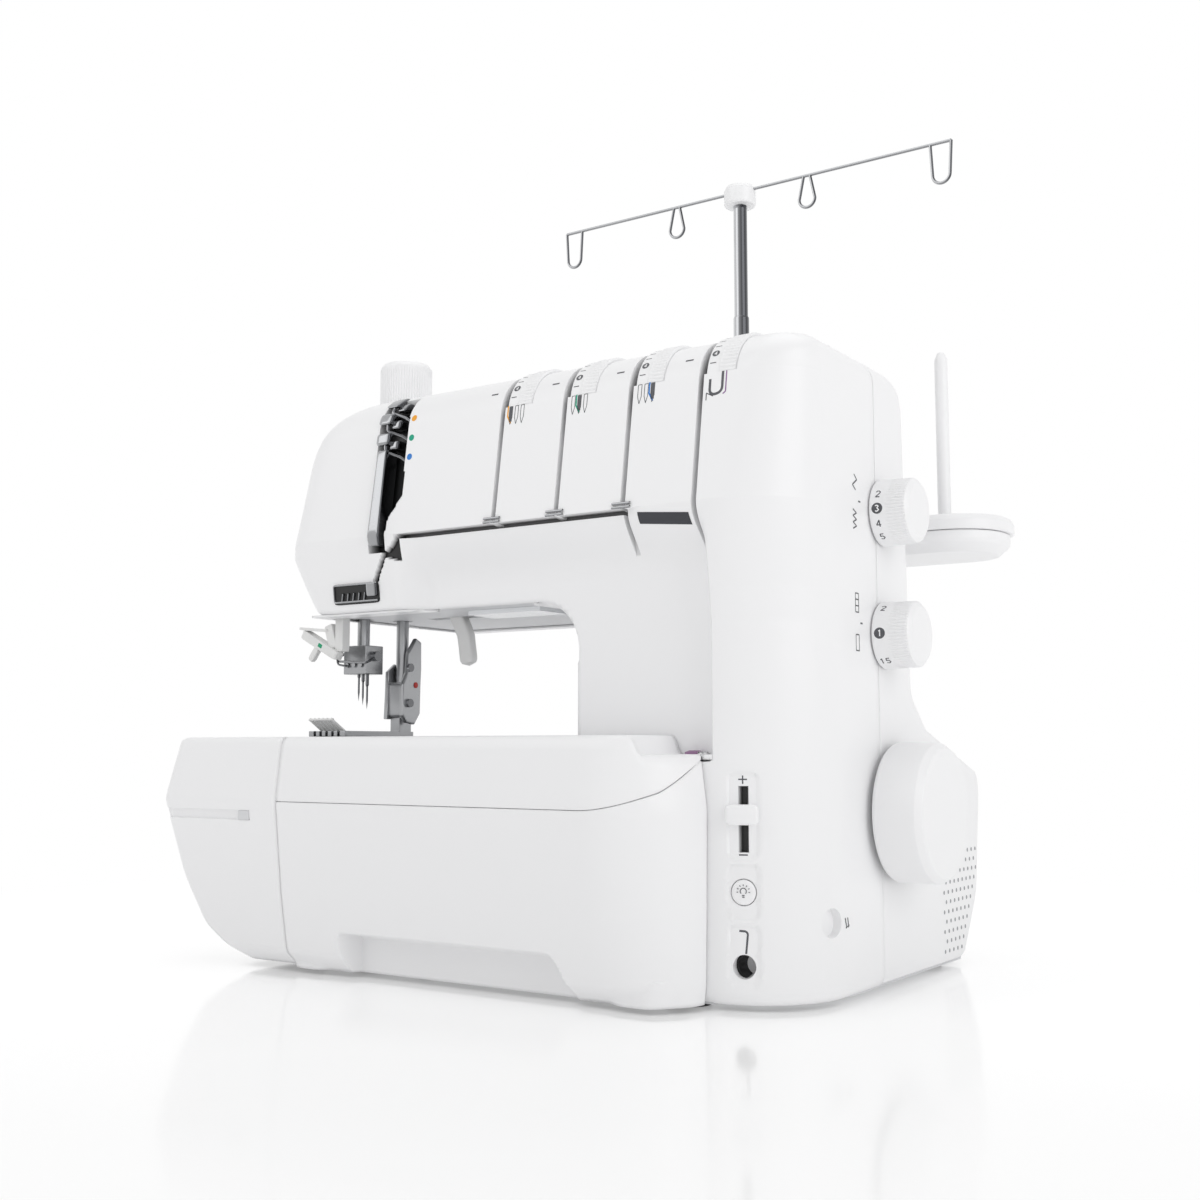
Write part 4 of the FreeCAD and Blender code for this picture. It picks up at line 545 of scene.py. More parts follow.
# Bed cover: the white ABS top of the bed, a slab with a rounded front and a lower ledge by the column.
# Its front band follows the bed's plan line; the top is ruled back from it, open round the stitch plate.
BED_TOP, LEDGE, BED_SEAM, BED_FRONT, BED_REAR = 120.5, 112.0, 87.5, -137.0, 38.0
BED_LEFT, BED_END, BED_CORNER, BED_STOP = -111.0, 120.0, 40.0, -96.6
PLATE_RIGHT, PLATE_FRONT, PLATE_BACK = -89.6, -92.4, -21.6
TUCK = filled(softened([(20, FLOOR_GAP), (10.5, 11), (5.5, 40), (0, BED_SEAM - 0.2)], [8, 60], 12), 2.5)
BED_GAP, BED_LIP, BED_EDGE, LEDGE_BACK = 0.15, 2.3, 3.0, -86.4


def direction(line):
    """Unit steps along a line of points."""
    along = np.gradient(line, axis=0)
    return along / np.linalg.norm(along, axis=1, keepdims=True)


def tucked(z):
    """How far the bed's front lies behind its fullest line at height z, leaning back above the seam."""
    return np.where(z > BED_SEAM, (z - BED_SEAM) * 4 / 33, np.interp(z, TUCK[:, 1], TUCK[:, 0]))


def bed_path(left):
    """Plan line of the bed's front and its outward normals: straight, round the right end, to the column."""
    corners = [(left, BED_FRONT), (BED_END, BED_FRONT), (BED_END, BED_STOP)]
    line = filled(softened(corners, [BED_CORNER], 30), 2.5)
    along = direction(line)
    return line, np.stack([along[:, 1], -along[:, 0]], axis=1)


def bed_seam(line):
    """Height of the seam along the plan line: level, then sweeping up round the right end."""
    share = np.clip((line[:, 0] - 76) / 44, 0, 1) * 0.75 + 0.25 * np.clip((line[:, 1] + 122) / 25, 0, 1)
    return BED_SEAM + 22.0 * share ** 2


def slab_height(x):
    """Height of the bed's top, dropping in a smooth step to the ledge by the column."""
    return BED_TOP - (BED_TOP - LEDGE) * smooth(x, 97, 100.5)


bed_line, bed_normal = bed_path(BED_LEFT)
low_edge, high_edge = bed_seam(bed_line) + BED_GAP, slab_height(bed_line[:, 0] - 8 * bed_normal[:, 0])
top_round = np.minimum(4.0, (high_edge - low_edge) * 0.6)
share = np.linspace(0, 1, 12)[:, None]
turn = quarter(8)[1:, None]
band_z = low_edge + (high_edge - top_round - low_edge) * share
band_in = tucked(band_z)
band_in[0] += 0.5
roll_z = high_edge - top_round * (1 - np.sin(turn))
roll_in = tucked(high_edge) + top_round * (1 - np.cos(turn))
lip_z = low_edge - np.array([[2.0], [0.0]])
lip_in = tucked(low_edge) + BED_LIP + np.array([[0.3], [0.0]])
rise = join(lip_z, band_z, roll_z)
fall = join(lip_in, band_in, roll_in)
band = grid_of(bed_line[:, 0] - bed_normal[:, 0] * fall, bed_line[:, 1] - bed_normal[:, 1] * fall, rise)
lip = band[-1]
stop = np.where(lip[:, 0] < THROAT_WALL, PLATE_FRONT, LEDGE_BACK)
top_y = lip[:, 1] + (np.maximum(stop, lip[:, 1]) - lip[:, 1]) * share
front_top = grid_of(lip[:, 0], top_y, lip[:, 2])
back_x = lip[lip[:, 0] < THROAT_WALL][:, 0]
rear_roll = quarter(6)
back_y = join([PLATE_FRONT, -70, -45, PLATE_BACK, 0, 20, 34],
              BED_REAR - BED_EDGE + BED_EDGE * np.sin(rear_roll), [BED_REAR, BED_REAR])[:, None]
back_z = join(np.full(7, BED_TOP), BED_TOP - BED_EDGE + BED_EDGE * np.cos(rear_roll),
              [105, BED_SEAM + BED_GAP])[:, None]
back_top = grid_of(back_x, back_y, back_z)
near_plate = (back_x[1:] < PLATE_RIGHT) & (back_y[:-1] >= PLATE_FRONT) & (back_y[:-1] < PLATE_BACK)
# Two small patches close the ledge where it runs against the column
fill_y = np.linspace(COLUMN_FRONT + 0.2, -86.5, 4)[:, None]
end_fill = grid_of(np.linspace(112, 121.5, 5), fill_y, LEDGE - 0.03)
end_wall = grid_of(np.linspace(117.5, 122.3, 4), COLUMN_FRONT - 0.05,
                   np.array([[low_edge[-1]], [111.0], [LEDGE - 0.03]]))
bed = skin("bed_top", white_abs, band, front_top, (back_top, None, ~near_plate), end_fill, end_wall,
           thick=SHELL)
place(bed, "machine", "white_shell", "bed_cover")

# Looper cover: the white ABS flap under the bed's lip, swinging forward on two pins at its foot.
# The bed's tucked-under profile is carried along the same plan line, with a finger notch pressed in
# and two swellings at its foot that pass in front of the hinge lugs as it swings.
NOTCH_LEFT, NOTCH_RIGHT, NOTCH_HIGH, NOTCH_FACE = -74.0, 66.0, 24.0, -113.0
LUG_MIDDLES, LUG_HALF, LUG_FRONT = np.array([-101.5, 96.5]), 4.0, -121.2
FLAP_SHELL = 1.8
cover_line, cover_normal = bed_path(BED_LEFT + 0.4)
cover_line = filled(join(cover_line, cover_normal, axis=1), 1.5)
cover_line, cover_normal = cover_line[:, :2], cover_line[:, 2:]
level = np.unique(join((TUCK[:, 1] - FLOOR_GAP) / (BED_SEAM - FLOOR_GAP - BED_GAP),
                       np.linspace(0.14, 0.28, 18), [0.992, 0.997]))
level = np.clip(level / level.max(), 0, 1)[:, None]
cover_z = FLOOR_GAP + (bed_seam(cover_line) - BED_GAP - FLOOR_GAP) * level
facing = 0.1 + 0.9 * cover_normal[:, 1] ** 2
cover_in = tucked(cover_z) * np.where(cover_z > BED_SEAM, 1.0, facing) + 0.6 * smooth(level, 0.992, 1.0)
cover_x = cover_line[:, 0] - cover_normal[:, 0] * cover_in
cover_y = cover_line[:, 1] - cover_normal[:, 1] * cover_in
lean_right = NOTCH_RIGHT - 10 * np.clip(cover_z / NOTCH_HIGH, 0, 1) ** 2
notch = (smooth(cover_x, NOTCH_LEFT, NOTCH_LEFT + 3) * (1 - smooth(cover_x, lean_right - 5, lean_right))
         * (1 - smooth(cover_z, NOTCH_HIGH - 4.5, NOTCH_HIGH)))
cover_y = cover_y + notch * np.maximum(NOTCH_FACE - cover_y, 0)
by_lug = 1 - smooth(np.abs(cover_x[..., None] - LUG_MIDDLES).min(-1), LUG_HALF, 4 * LUG_HALF)
cover_y = cover_y - by_lug * np.maximum(cover_y - LUG_FRONT, 0) * (cover_z < 14)
looper_flap = skin("looper_flap", white_abs, grid_of(cover_x, cover_y, cover_z), thick=FLAP_SHELL)
place(looper_flap, "looper_cover", "white_shell", "looper_cover")

# Slide-on table: the white ABS left end of the bed, a hollow hood round the free arm that slides off.
# Outlines stacked by height; the top is ruled in from the outline to the opening for the arm.
TABLE_JOINT, TABLE_LOW, TABLE_CORNER, TABLE_ROLL = -111.4, 4.0, 10.0, 3.0
GROOVE_LOW, GROOVE_HIGH, GROOVE_DEEP, GROOVE_END = 77.5, 82.5, 1.8, -131.0
END_LINE = filled(softened([(-152, TABLE_LOW), (-177, 21), (-191, 48), (-203, BED_SEAM), (-195, BED_TOP)],
                           [20, 40, 18], 10), 2.5)
table_z = np.unique(join(
    np.linspace(TABLE_LOW, BED_TOP - TABLE_ROLL, 50), END_LINE[END_LINE[:, 1] < 30, 1],
    [GROOVE_LOW - 0.1, GROOVE_LOW + 0.1, GROOVE_HIGH - 0.1, GROOVE_HIGH + 0.1]))
table_z = table_z[table_z <= BED_TOP - TABLE_ROLL]
turn = quarter(7)[1:]
rise = join(table_z, BED_TOP - TABLE_ROLL * (1 - np.sin(turn)))[:, None]
roll = join(0 * table_z, TABLE_ROLL * (1 - np.cos(turn)))[:, None]
end_x = np.interp(rise, END_LINE[:, 1], END_LINE[:, 0]) + roll
front_y = BED_FRONT + tucked(rise) + roll
rear_y = BED_REAR - roll
leg = np.unique(join(np.linspace(0, 1, 30), [0.24, 0.245, 0.25, 0.255]))
arc = quarter(9)[1:-1]
side = np.linspace(0, 1, 20)
hood_x = join(
    TABLE_JOINT + (end_x + TABLE_CORNER - TABLE_JOINT) * leg, end_x + TABLE_CORNER * (1 - np.sin(arc)),
    end_x + 0 * side, end_x + TABLE_CORNER * (1 - np.cos(arc)),
    end_x + TABLE_CORNER + (TABLE_JOINT - end_x - TABLE_CORNER) * leg, axis=1)
hood_y = join(
    front_y + 0 * leg, front_y + TABLE_CORNER * (1 - np.cos(arc)),
    front_y + TABLE_CORNER + (rear_y - front_y - 2 * TABLE_CORNER) * side,
    rear_y - TABLE_CORNER * (1 - np.sin(arc)), rear_y + 0 * leg, axis=1)
in_groove = (rise > GROOVE_LOW) & (rise < GROOVE_HIGH) & (hood_x < GROOVE_END) & (hood_y < BED_FRONT + 5)
hood = grid_of(hood_x, hood_y + GROOVE_DEEP * in_groove, rise)[:, ::-1]
ARM_END = -165.4
inner_x = join(
    TABLE_JOINT + (ARM_END - TABLE_JOINT) * leg, np.full(2 * len(arc) + len(side), ARM_END),
    ARM_END + (TABLE_JOINT - ARM_END) * leg)
inner_y = join(
    np.full(len(leg) + len(arc), PLATE_FRONT), PLATE_FRONT + (PLATE_BACK - PLATE_FRONT) * side,
    np.full(len(arc) + len(leg), PLATE_BACK))
inner = grid_of(inner_x, inner_y, BED_TOP)[::-1]
share = np.linspace(0, 1, 8)[:, None, None]
table_top = hood[-1] + (inner - hood[-1]) * share
table = skin("table_hood", white_abs, hood, table_top, thick=FLAP_SHELL)
place(table, "table", "white_shell", "slide_on_table")

# Handwheel: a plain white ABS wheel on the right side, pressed on the main shaft.
# A rounded profile is carried round the shaft's axis; the hub fits the shaft's end.
HAND_Y, HAND_Z = 4.0, 84.0


def turned(profile, axis, centre, ribs=0, deep=0.0, ribbed=(0, 0), steps=120):
    """A profile of (radius, along) points carried round an axis, waved by ribs between two places."""
    radius, along = np.array(profile, float).T[..., None]
    steps = ribs * 6 if ribs else steps
    angle = np.linspace(0, 2 * math.pi, steps + 1)
    inside = (along >= ribbed[0]) & (along <= ribbed[1])
    radius = radius - deep * inside * np.clip(np.cos(ribs * angle) * 1.5, 0, 1)
    u, v = radius * np.cos(angle), radius * np.sin(angle)
    order = {"x": (along, u, v), "y": (v, along, u), "z": (u, v, along)}[axis]
    return grid_of(*order) + np.array(centre, float)


wheel = softened([(6.05, 169), (32.6, 169), (33.5, 170.5), (33.3, 189.6), (30.8, 193), (27, 192.6),
                  (0.01, 192.9)], [0.5, 1, 1.6, 1.2, 1.5], 8)
handwheel = skin("handwheel_rim", white_abs, turned(wheel, "x", (0, HAND_Y, HAND_Z), steps=180))
place(handwheel, "handwheel_drive", "white_shell", "handwheel")

# Side dials: two white ABS knobs that set stitch length and differential feed, on stems in the column.
# Each is a smooth skirt that carries its marks and a finely ribbed grip with a domed end.
SIDE_Y, SIDE_RIBS, SIDE_RIB_DEEP, SIDE_RIBBED = -4.0, 64, 0.45, (174.9, 184.2)
SIDE_DIALS = (("stitch_length", 229.0), ("differential", 169.0))
skirt = softened([(4, 150), (4, 166.8), (16.0, 166.8), (16.5, 167.6), (16.1, 174.4)], [0.1, 0.3, 0.6], 4)
grip = filled(softened([(16.1, 174.4), (16.1, 174.8), (15.9, 184), (13.2, 186), (0.01, 186.4)],
                       [0.1, 1.2, 1.5], 5), 2.0)
side_line = join(skirt, grip[1:])
for body, high in SIDE_DIALS:
    shape = turned(side_line, "x", (0, SIDE_Y, high), SIDE_RIBS, SIDE_RIB_DEEP, SIDE_RIBBED)
    place(skin(f"{body}_knob", white_abs, shape), body, "white_shell", f"{body}_dial")

# Tension dials: four white ABS wheels set in the rounded front edge of the arm, on one spindle.
# The left band is smooth and carries marks, the right band is ribbed for the finger.
TENSION_RIBS, TENSION_RIB_DEEP = 84, 0.5
for number, left in enumerate(DIAL_X, start=1):
    rim = softened([(3.05, left), (25.6, left), (26.3, left + 0.5), (26.3, left + 6.6), (26.9, left + 7.2),
                    (26.9, left + 15.4), (26.0, left + 16), (3.05, left + 16)],
                   [0.3, 0.3, 0.2, 0.2, 0.4, 0.4], 4)
    shape = turned(filled(rim, 2.5), "x", (0, DIAL_Y, DIAL_Z), TENSION_RIBS, TENSION_RIB_DEEP,
                   (left + 7.3, left + 15.5))
    place(skin(f"tension_wheel_{number}", white_abs, shape), f"tension_{number}", "white_shell",
          f"tension_dial_{number}")

# Pressure knob: the ribbed white ABS knob on top of the head that sets the foot's pressure.
# A ribbed profile is carried round its upright axis; the stem goes down through the casing.
HEAD_Y = -41.0
PRESSURE_SPOT, PRESSURE_RIBS, PRESSURE_RIB_DEEP, PRESSURE_RIBBED = (-112, HEAD_Y, 0), 60, 0.4, (297, 333)
knob = filled(softened([(0.01, 277), (4, 277), (4, 292), (15, 292), (15, 334.5), (13, 337), (0.01, 337)],
                       [0.1, 0.1, 0.5, 1.5, 1.2], 5), 3.0)
shape = turned(knob, "z", PRESSURE_SPOT, PRESSURE_RIBS, PRESSURE_RIB_DEEP, PRESSURE_RIBBED)
place(skin("pressure_grip", white_abs, shape), "pressure_knob", "white_shell", "pressure_knob")

# Control strip: the slider that sets the looper's tension and the lamp button, both white ABS.
# Both are shaped flat and then laid on the round corner of the column.
SLIDE_Z = 85.6


def on_corner(flat):
    """Lays (sideways, height, out) points from the strip's middle on the column's rounded corner."""
    turn = (strip_t + flat[..., 0] - ARC_START) / ARC
    reach = ARC + flat[..., 2]
    return grid_of(ARC_START + reach * np.sin(turn), COLUMN_FRONT + ARC - reach * np.cos(turn),
                   flat[..., 1])


def lifted(wave, power):
    """A wave made squarer: its size raised to a small power, its sign kept."""
    return np.sign(wave) * np.abs(wave) ** power


def pillow(half, power=0.35, rows=24, columns=48):
    """A box with soft edges: a sphere whose sines and cosines are raised to a small power."""
    u = np.linspace(-math.pi, math.pi, columns + 1)
    v = np.linspace(-math.pi / 2, math.pi / 2, rows + 1)[:, None]
    ring = lifted(np.cos(v), power)
    return grid_of(half[0] * ring * lifted(np.cos(u), power), half[1] * ring * lifted(np.sin(u), power),
                   half[2] * lifted(np.sin(v), power))


grip = pillow((7.0, 4.5, 3.2)) + (0, SLIDE_Z, 1.2)
neck = pillow((1.5, 3.5, 3.0)) + (0, SLIDE_Z, -3.5)
slider = skin("slider_knob", white_abs, on_corner(grip), on_corner(neck))
place(slider, "slider", "white_shell", "tension_slider")
cap = softened([(5.5, -8), (5.5, -0.8), (4.9, -0.1), (0.01, 0.25)], [0.4, 2], 5)
angle = np.linspace(0, 2 * math.pi, 73)
button = grid_of(cap[:, :1] * np.cos(angle), cap[:, :1] * np.sin(angle) + LIGHT_Z, cap[:, 1:])
place(skin("lamp_button", white_abs, on_corner(button)), "light_button", "white_shell", "light_button")

# Thread stand: a two-part white ABS tray behind the arm with four plain spool pins.
# Rounded rectangles are stacked by height; the bracket runs into the rear casing.
STAND_X, STAND_Y = 46.9, 76.0
STAND_LEFT, STAND_RIGHT, STAND_FRONT, STAND_BACK = -109.5, 203.3, 46.0, 111.0
STAND_LOW, STAND_SEAM, STAND_FLOOR, STAND_TOP, STAND_ROUND = 216.0, 227.0, 230, 235.0, 30.0
STAND_MIDDLE, PIN_OFFSETS = 32.49, (-122, -44, 44, 122)


def tray_outline(inset):
    """Rounded rectangle of the tray, drawn in by an inset."""
    left, right = STAND_LEFT + inset, STAND_RIGHT - inset
    front, back = STAND_FRONT + inset, STAND_BACK - inset
    radius = max(STAND_ROUND - inset, 0.0)
    angle = quarter(14)
    s, c = radius * np.sin(angle), radius * np.cos(angle)
    x = join(right - radius + s, right - radius + c, left + radius - s, left + radius - c)
    y = join(front + radius - c, back - radius + s, back - radius + c, front + radius - s)
    return np.append(x, x[0]), np.append(y, y[0])


def tray(profile):
    """Stacks tray outlines along a profile of (inset, height) points."""
    return np.array([grid_of(*tray_outline(inset), high) for inset, high in profile])


under = softened([(STAND_MIDDLE, STAND_LOW), (8, STAND_LOW), (2.2, STAND_LOW + 5), (2.2, STAND_SEAM - 0.3),
                  (3.4, STAND_SEAM - 0.3)], [1, 4, 0.3], 6)
bracket = pillow((20, 24, 6), 0.12) + (STAND_X, 54, STAND_LOW - 5.9)
place(skin("stand_tray", white_abs, tray(under), bracket), "machine", "white_shell", "stand_shell")
rim = softened([(3.2, STAND_SEAM), (0, STAND_SEAM), (0, STAND_TOP - 3), (1.6, STAND_TOP), (4, STAND_TOP),
                (4.5, STAND_FLOOR), (STAND_MIDDLE, STAND_FLOOR)], [0.5, 2, 1, 1, 1.5], 6)
place(skin("stand_lip", white_abs, tray(rim)), "machine", "white_shell", "stand_rim")
pin = softened([(7, STAND_FLOOR), (7, 233), (3.5, 234.2), (3.5, 324), (1.75, 328), (0.01, 328)],
               [0.8, 1, 6, 1], 6)
pins = skin("spool_posts", white_abs, *[turned(pin, "z", (STAND_X + offset, STAND_Y, 0), steps=48)
                                        for offset in PIN_OFFSETS])
place(pins, "machine", "white_shell", "spool_pins")

# Telescopic rod: two chromed tubes; the upper one slides in the lower and carries the guide.
# Short profiles are carried round the rod's axis; a plain white ABS cap closes the top.
ROD = (STAND_X, STAND_Y, 0)
# Chrome: near mirror, with a painted reflection: pale and dark bands in its colour, set by the way the
# surface faces, as if it caught the panels of a studio
chrome = surface("chromed steel", "#B9BABD", 0.12, 1.0, grain=0.0)
tree = chrome.node_tree
coords = add_node(tree, "ShaderNodeTexCoord")
facing = add_node(tree, "ShaderNodeSeparateXYZ", {}, {"Vector": coords.outputs["Normal"]})
turning = add_node(tree, "ShaderNodeMath", {1: -0.6, 2: 0.35}, {0: facing.outputs["Y"]},
                   operation="MULTIPLY_ADD")
painted_band_share = add_node(tree, "ShaderNodeMath", {2: 0.5}, {0: facing.outputs["X"], 1: turning.outputs[0]},
                  operation="MULTIPLY_ADD", use_clamp=True)
painted_reflection_bands = add_node(tree, "ShaderNodeMixRGB", {"Color1": linear("#CFD0D2"), "Color2": linear("#4E4F52")},
                 {"Fac": painted_band_share.outputs[0]})
tree.links.new(painted_reflection_bands.outputs["Color"], tree.nodes["Principled BSDF"].inputs["Base Color"])
wide = softened([(4.1, 232), (4.65, 230), (4.65, 368), (4.4, 369), (4.1, 369), (4.1, 330)],
                [0.1, 0.1, 0.3, 0.1], 4)
place(skin("lower_tube", chrome, turned(wide, "z", ROD, steps=64)), "machine", "chrome", "rod_lower_tube")
slim = [(0.01, 300), (4.05, 300), (4.05, 442), (0.01, 442)]
upper_tube = skin("upper_tube", chrome, turned(slim, "z", ROD, steps=64))
place(upper_tube, "thread_guide", "chrome", "rod_upper_tube")
cap = softened([(4.05, 437), (8.8, 437), (9.5, 438), (9.5, 446.3), (8, 449), (0.01, 449)],
               [0.5, 1, 1.8, 1], 6)
guide_cap = skin("guide_top", white_abs, turned(cap, "z", ROD, steps=72))
place(guide_cap, "thread_guide", "white_shell", "guide_cap")

# Wire guide: one bent steel wire on the rod's cap, with two long eyes at its ends and two drop eyes.
# A small circle is carried along each bent centre line.
WIRE_ROUND, WIRE_Z, WIRE_LEFT, WIRE_RIGHT, EYE_ROUND = 0.9, 446.0, -80.1, 177.9, 5


def wire(line, radius, sides=12):
    """A circle carried along a centre line, its frame turned as little as possible."""
    line = np.array(line, float)
    along = direction(line)
    across = np.cross(along, np.array([0.02, 1.0, 0.013]))
    across /= np.linalg.norm(across, axis=1, keepdims=True)
    up = np.cross(along, across)
    angle = np.linspace(0, 2 * math.pi, sides + 1)[:, None]
    ring = np.cos(angle)[..., None] * across + np.sin(angle)[..., None] * up
    return np.moveaxis(line + radius * ring, 0, 1)[:, ::-1]


def eye(centre, half, high):
    """Flat loop hanging from the wire: sides run down to a round bottom and back to the wire."""
    low = WIRE_Z - high + EYE_ROUND
    angle = np.linspace(math.pi, 2 * math.pi, 15)
    x = join([-half], EYE_ROUND * np.cos(angle), [half]) + centre
    z = join([WIRE_Z], low + EYE_ROUND * np.sin(angle), [WIRE_Z])
    return filled(grid_of(x, STAND_Y, z), 1.5)


EYES = ((WIRE_LEFT + 6, 6, 23), (WIRE_RIGHT - 6, 6, 23), (STAND_X - 44, 2, 19), (STAND_X + 44, 2, 19))
bar = filled(np.array([(WIRE_LEFT, STAND_Y, WIRE_Z), (WIRE_RIGHT, STAND_Y, WIRE_Z)]), 8)
guide_wire = skin("guide_bar", chrome, wire(bar, WIRE_ROUND),
                  *[wire(eye(*sizes), WIRE_ROUND) for sizes in EYES], sharp=60)
place(guide_wire, "thread_guide", "chrome", "guide_wire")

# Take-up cover: chromed thread hooks and a chromed bar in the pocket of the head's front, which is painted
# near black as its shade.
# Soft boxes lean with the panel; bent wires lead from each hook down into the pocket.
HOOK_HEIGHTS, BAR_HALF = (301.0, 290.5, 279.0), 26.3


def panel_y(z):
    """Front of the panel at height z, including the round at its top."""
    lift = np.clip(z - (TOP - FRONT_ROUND), -50, FRONT_ROUND - 0.01)
    centre = front_face(TOP - FRONT_ROUND) + FRONT_ROUND / math.cos(TILT)
    round_y = centre - circle(FRONT_ROUND, np.maximum(lift, 0))
    return np.where(lift > FRONT_ROUND * math.sin(TILT), round_y, front_face(z))


def on_panel(flat):
    """Lays (x, z, out) points on the leaning front panel."""
    x, z, out = np.moveaxis(flat, -1, 0)
    return grid_of(x, panel_y(z) - out, z)


def panel_wire(line, radius, step=1.5):
    """A wire along (x, z, out) points of the front panel, filled in to a step."""
    return wire(on_panel(filled(np.array(line), step)), radius)


hooks = []
for high in HOOK_HEIGHTS:
    hooks.append(on_panel(pillow((4.6, 3.3, 2.4), 0.4) + (-77.2, high, 0.2)))
    hooks.append(on_panel(pillow((3.2, 2.6, 4.0), 0.4) + (-71.5, high - 3.5, -4.2)))
    bend = softened([(-76, high - 3, 0.6), (-75.5, high - 7, 0.4), (-68, high - 10, -3),
                     (-64, high - 13, -5)], [2, 3], 6)
    hooks.append(panel_wire(bend, 0.9))
bar = pillow((3.6, BAR_HALF, 5.0), 0.18, 30, 60)
bar[..., 0] *= 1 - 0.12 * bar[..., 1] / BAR_HALF
hooks.append(on_panel(bar + (-76.4, 246.8, -2.2)))
place(skin("take_up_hooks", chrome, *hooks), "machine", "chrome", "take_up_cover")

# Thread guides: chromed wire clips at the foot of three grooves and a comb under the head's front.
# Thin wires bent on the panel; a near-black insert behind the comb is painted shade of its recess.
COMB_LEFT, COMB_RIGHT, COMB_LOW, COMB_HIGH = -108.5, -77.0, 192.6, 201.6
clips = [panel_wire([(centre - 5.5, high, 0.5), (centre + 4.5, high, 0.5)], 0.65)
         for centre in groove_x[:3] for high in (226.6, 228.4)]
comb_line = softened([(COMB_RIGHT, COMB_HIGH, 0.7), (COMB_LEFT, COMB_HIGH, 0.7), (COMB_LEFT, COMB_LOW, 0.7),
                      (COMB_RIGHT, COMB_LOW, 0.7)], [1, 1], 6)
clips.append(panel_wire(comb_line, 0.6))
clips += [panel_wire([(x, COMB_LOW, 0.7), (x + 1.5, COMB_LOW + 4.5, 1.2)], 0.55, 1.0)
          for x in np.arange(-103, -84, 4.0)]
clips.append(on_panel(pillow((3.4, 3.6, 1.6), 0.3) + (-80.5, 198.2, 0.8)))
guides = skin("thread_clips", chrome, *clips)
place(guides, "machine", "chrome", "thread_guides")
# Black nylon: deep matt black; behind the comb it is painted shade of the recess, setting the chrome comb
# off from the white head
black_nylon = surface("black nylon", "#151516", 0.5)
insert = on_panel(pillow((16.6, 5.4, 1.0), 0.2) + (-92.8, 196.6, -0.45))
place(skin("comb_painted_shade", black_nylon, insert), "machine", "grey_plastic")

# Presser lifter: the pale translucent lever under the arm that raises the foot, bent like a finger.
# A soft oblong section is carried down a curved line from its pivot.
# Milky polypropylene: pale and a little warmer than the casing, with a soft sheen
milky = surface("milky polypropylene", "#E9E9E8", 0.4)
lever_line = filled(softened([(-85, 199), (-74, 195), (-65, 177), (-62.4, 160)], [9, 14], 10), 1.5)
along = direction(lever_line)
angle = np.linspace(0, 2 * math.pi, 33)
taper = join([0.02, 0.7, 0.95], np.ones(len(lever_line) - 6), [0.97, 0.8, 0.02])[:, None]
deep, wide = 4.6 * lifted(np.cos(angle), 0.5) * taper, 3.4 * lifted(np.sin(angle), 0.5) * taper
lever = grid_of(lever_line[:, :1] - along[:, 1:] * deep, HEAD_Y + wide,
                lever_line[:, 1:] + along[:, :1] * deep)
lifter = skin("lifter_blade", milky, lever[:, ::-1])
place(lifter, "lifter", "grey_plastic", "lifter_lever")

# Presser foot: a steel bracket beside the presser bar and a sole with raised wire toes in front.
# Flat plates with rounded rims are built from rings of one outline; toes and needle guard are bent wire.
# Bright steel: brushed by a fine grain, so it reads darker and softer than the chrome
steel = surface("bright steel", "#A4A5A7", 0.3, 1.0, grain=0.1, size=1500)


def plate(outline, near, far, rim=0.5):
    """A flat plate: rings of one closed outline, drawn in at the faces and full between the rims."""
    outline = filled(np.array([*outline, outline[0]], float), 1.0)
    middle = outline[:-1].mean(axis=0)
    reach = np.linalg.norm(outline - middle, axis=1, keepdims=True)
    drawn, soft = 1 - rim / reach, 1 - 0.3 * rim / reach
    rings = [(0.001, near), (drawn * 0.98, near), (drawn, near), (soft, near + 0.3 * rim), (1.0, near + rim),
             (1.0, far - rim), (soft, far - 0.3 * rim), (drawn, far), (drawn * 0.98, far), (0.001, far)]
    return np.stack([np.insert(middle + (outline - middle) * scale, 2, deep, axis=1)
                     for scale, deep in rings])


def upright(flat):
    """Turns (y, z, x) plates into the shared frame, facing along x."""
    return flat[..., [2, 0, 1]]


bracket = [(-46.5, 129), (-40, 128), (-35.5, 134), (-34.5, 160), (-35, 175), (-39, 177), (-45, 169),
           (-46, 158), (-50, 150), (-50, 133)]
finger = [(-49, 131), (-38, 131), (-37, 160), (-42, 162.5), (-48, 158)]
bracket_plate = upright(plate(bracket, -106.0, -103.0, 0.7))
finger_plate = upright(plate(finger, -118.6, -116.0, 0.7))
web = pillow((7.0, 5.5, 9.5), 0.15) + (-111.6, -42, 141.8)
place(skin("shank_bracket", steel, bracket_plate, finger_plate, web), "presser", "steel", "foot_shank")
toes = []
for x in np.linspace(-135, -119, 6):
    toe = softened([(x, -66, 122.6), (x - 0.3, -78, 123.0), (x - 1.6, -88.5, 130.5)], [4], 8)
    toes.append(wire(filled(toe, 1.0), 0.85))
rail = filled(np.array([(-137.5, -88, 130.2), (-119.5, -88, 130.2)]), 1.5)
toes.append(wire(rail, 0.7))
place(skin("toe_wires", milky, *toes), "presser", "clear_plastic")
guard = softened([(-133, -66, 168), (-136.5, -70.5, 163.5), (-112, -70.5, 162), (-110.5, -66, 165)],
                 [2, 2], 6)
hook = softened([(-131, -68.4, 171), (-134, -71.5, 167), (-133, -71.5, 161.5), (-128, -70, 160.5)],
                [2, 2], 6)
needle_guard = skin("needle_guard", chrome, wire(filled(guard, 1.0), 0.7), wire(filled(hook, 1.0), 0.6))
place(needle_guard, "needle_bar", "chrome")
# Red lacquer: a single red dot that marks where the foot clips on
red_lacquer = surface("red lacquer", "#B4241C", 0.4, grain=0.0)
dot = turned([(1.7, -103.2), (1.7, -102.7), (0.01, -102.5)], "x", (0, -39.5, 150.3), steps=32)
place(skin("foot_dot", red_lacquer, dot), "presser", "grey_plastic")

# Needle threader: a milky plastic slide in front of the clamp with a slanted arm and a finger tab.
# Soft boxes, turned in the front's plane; a green mark sits on the arm.
ARM_TURN = 0.47


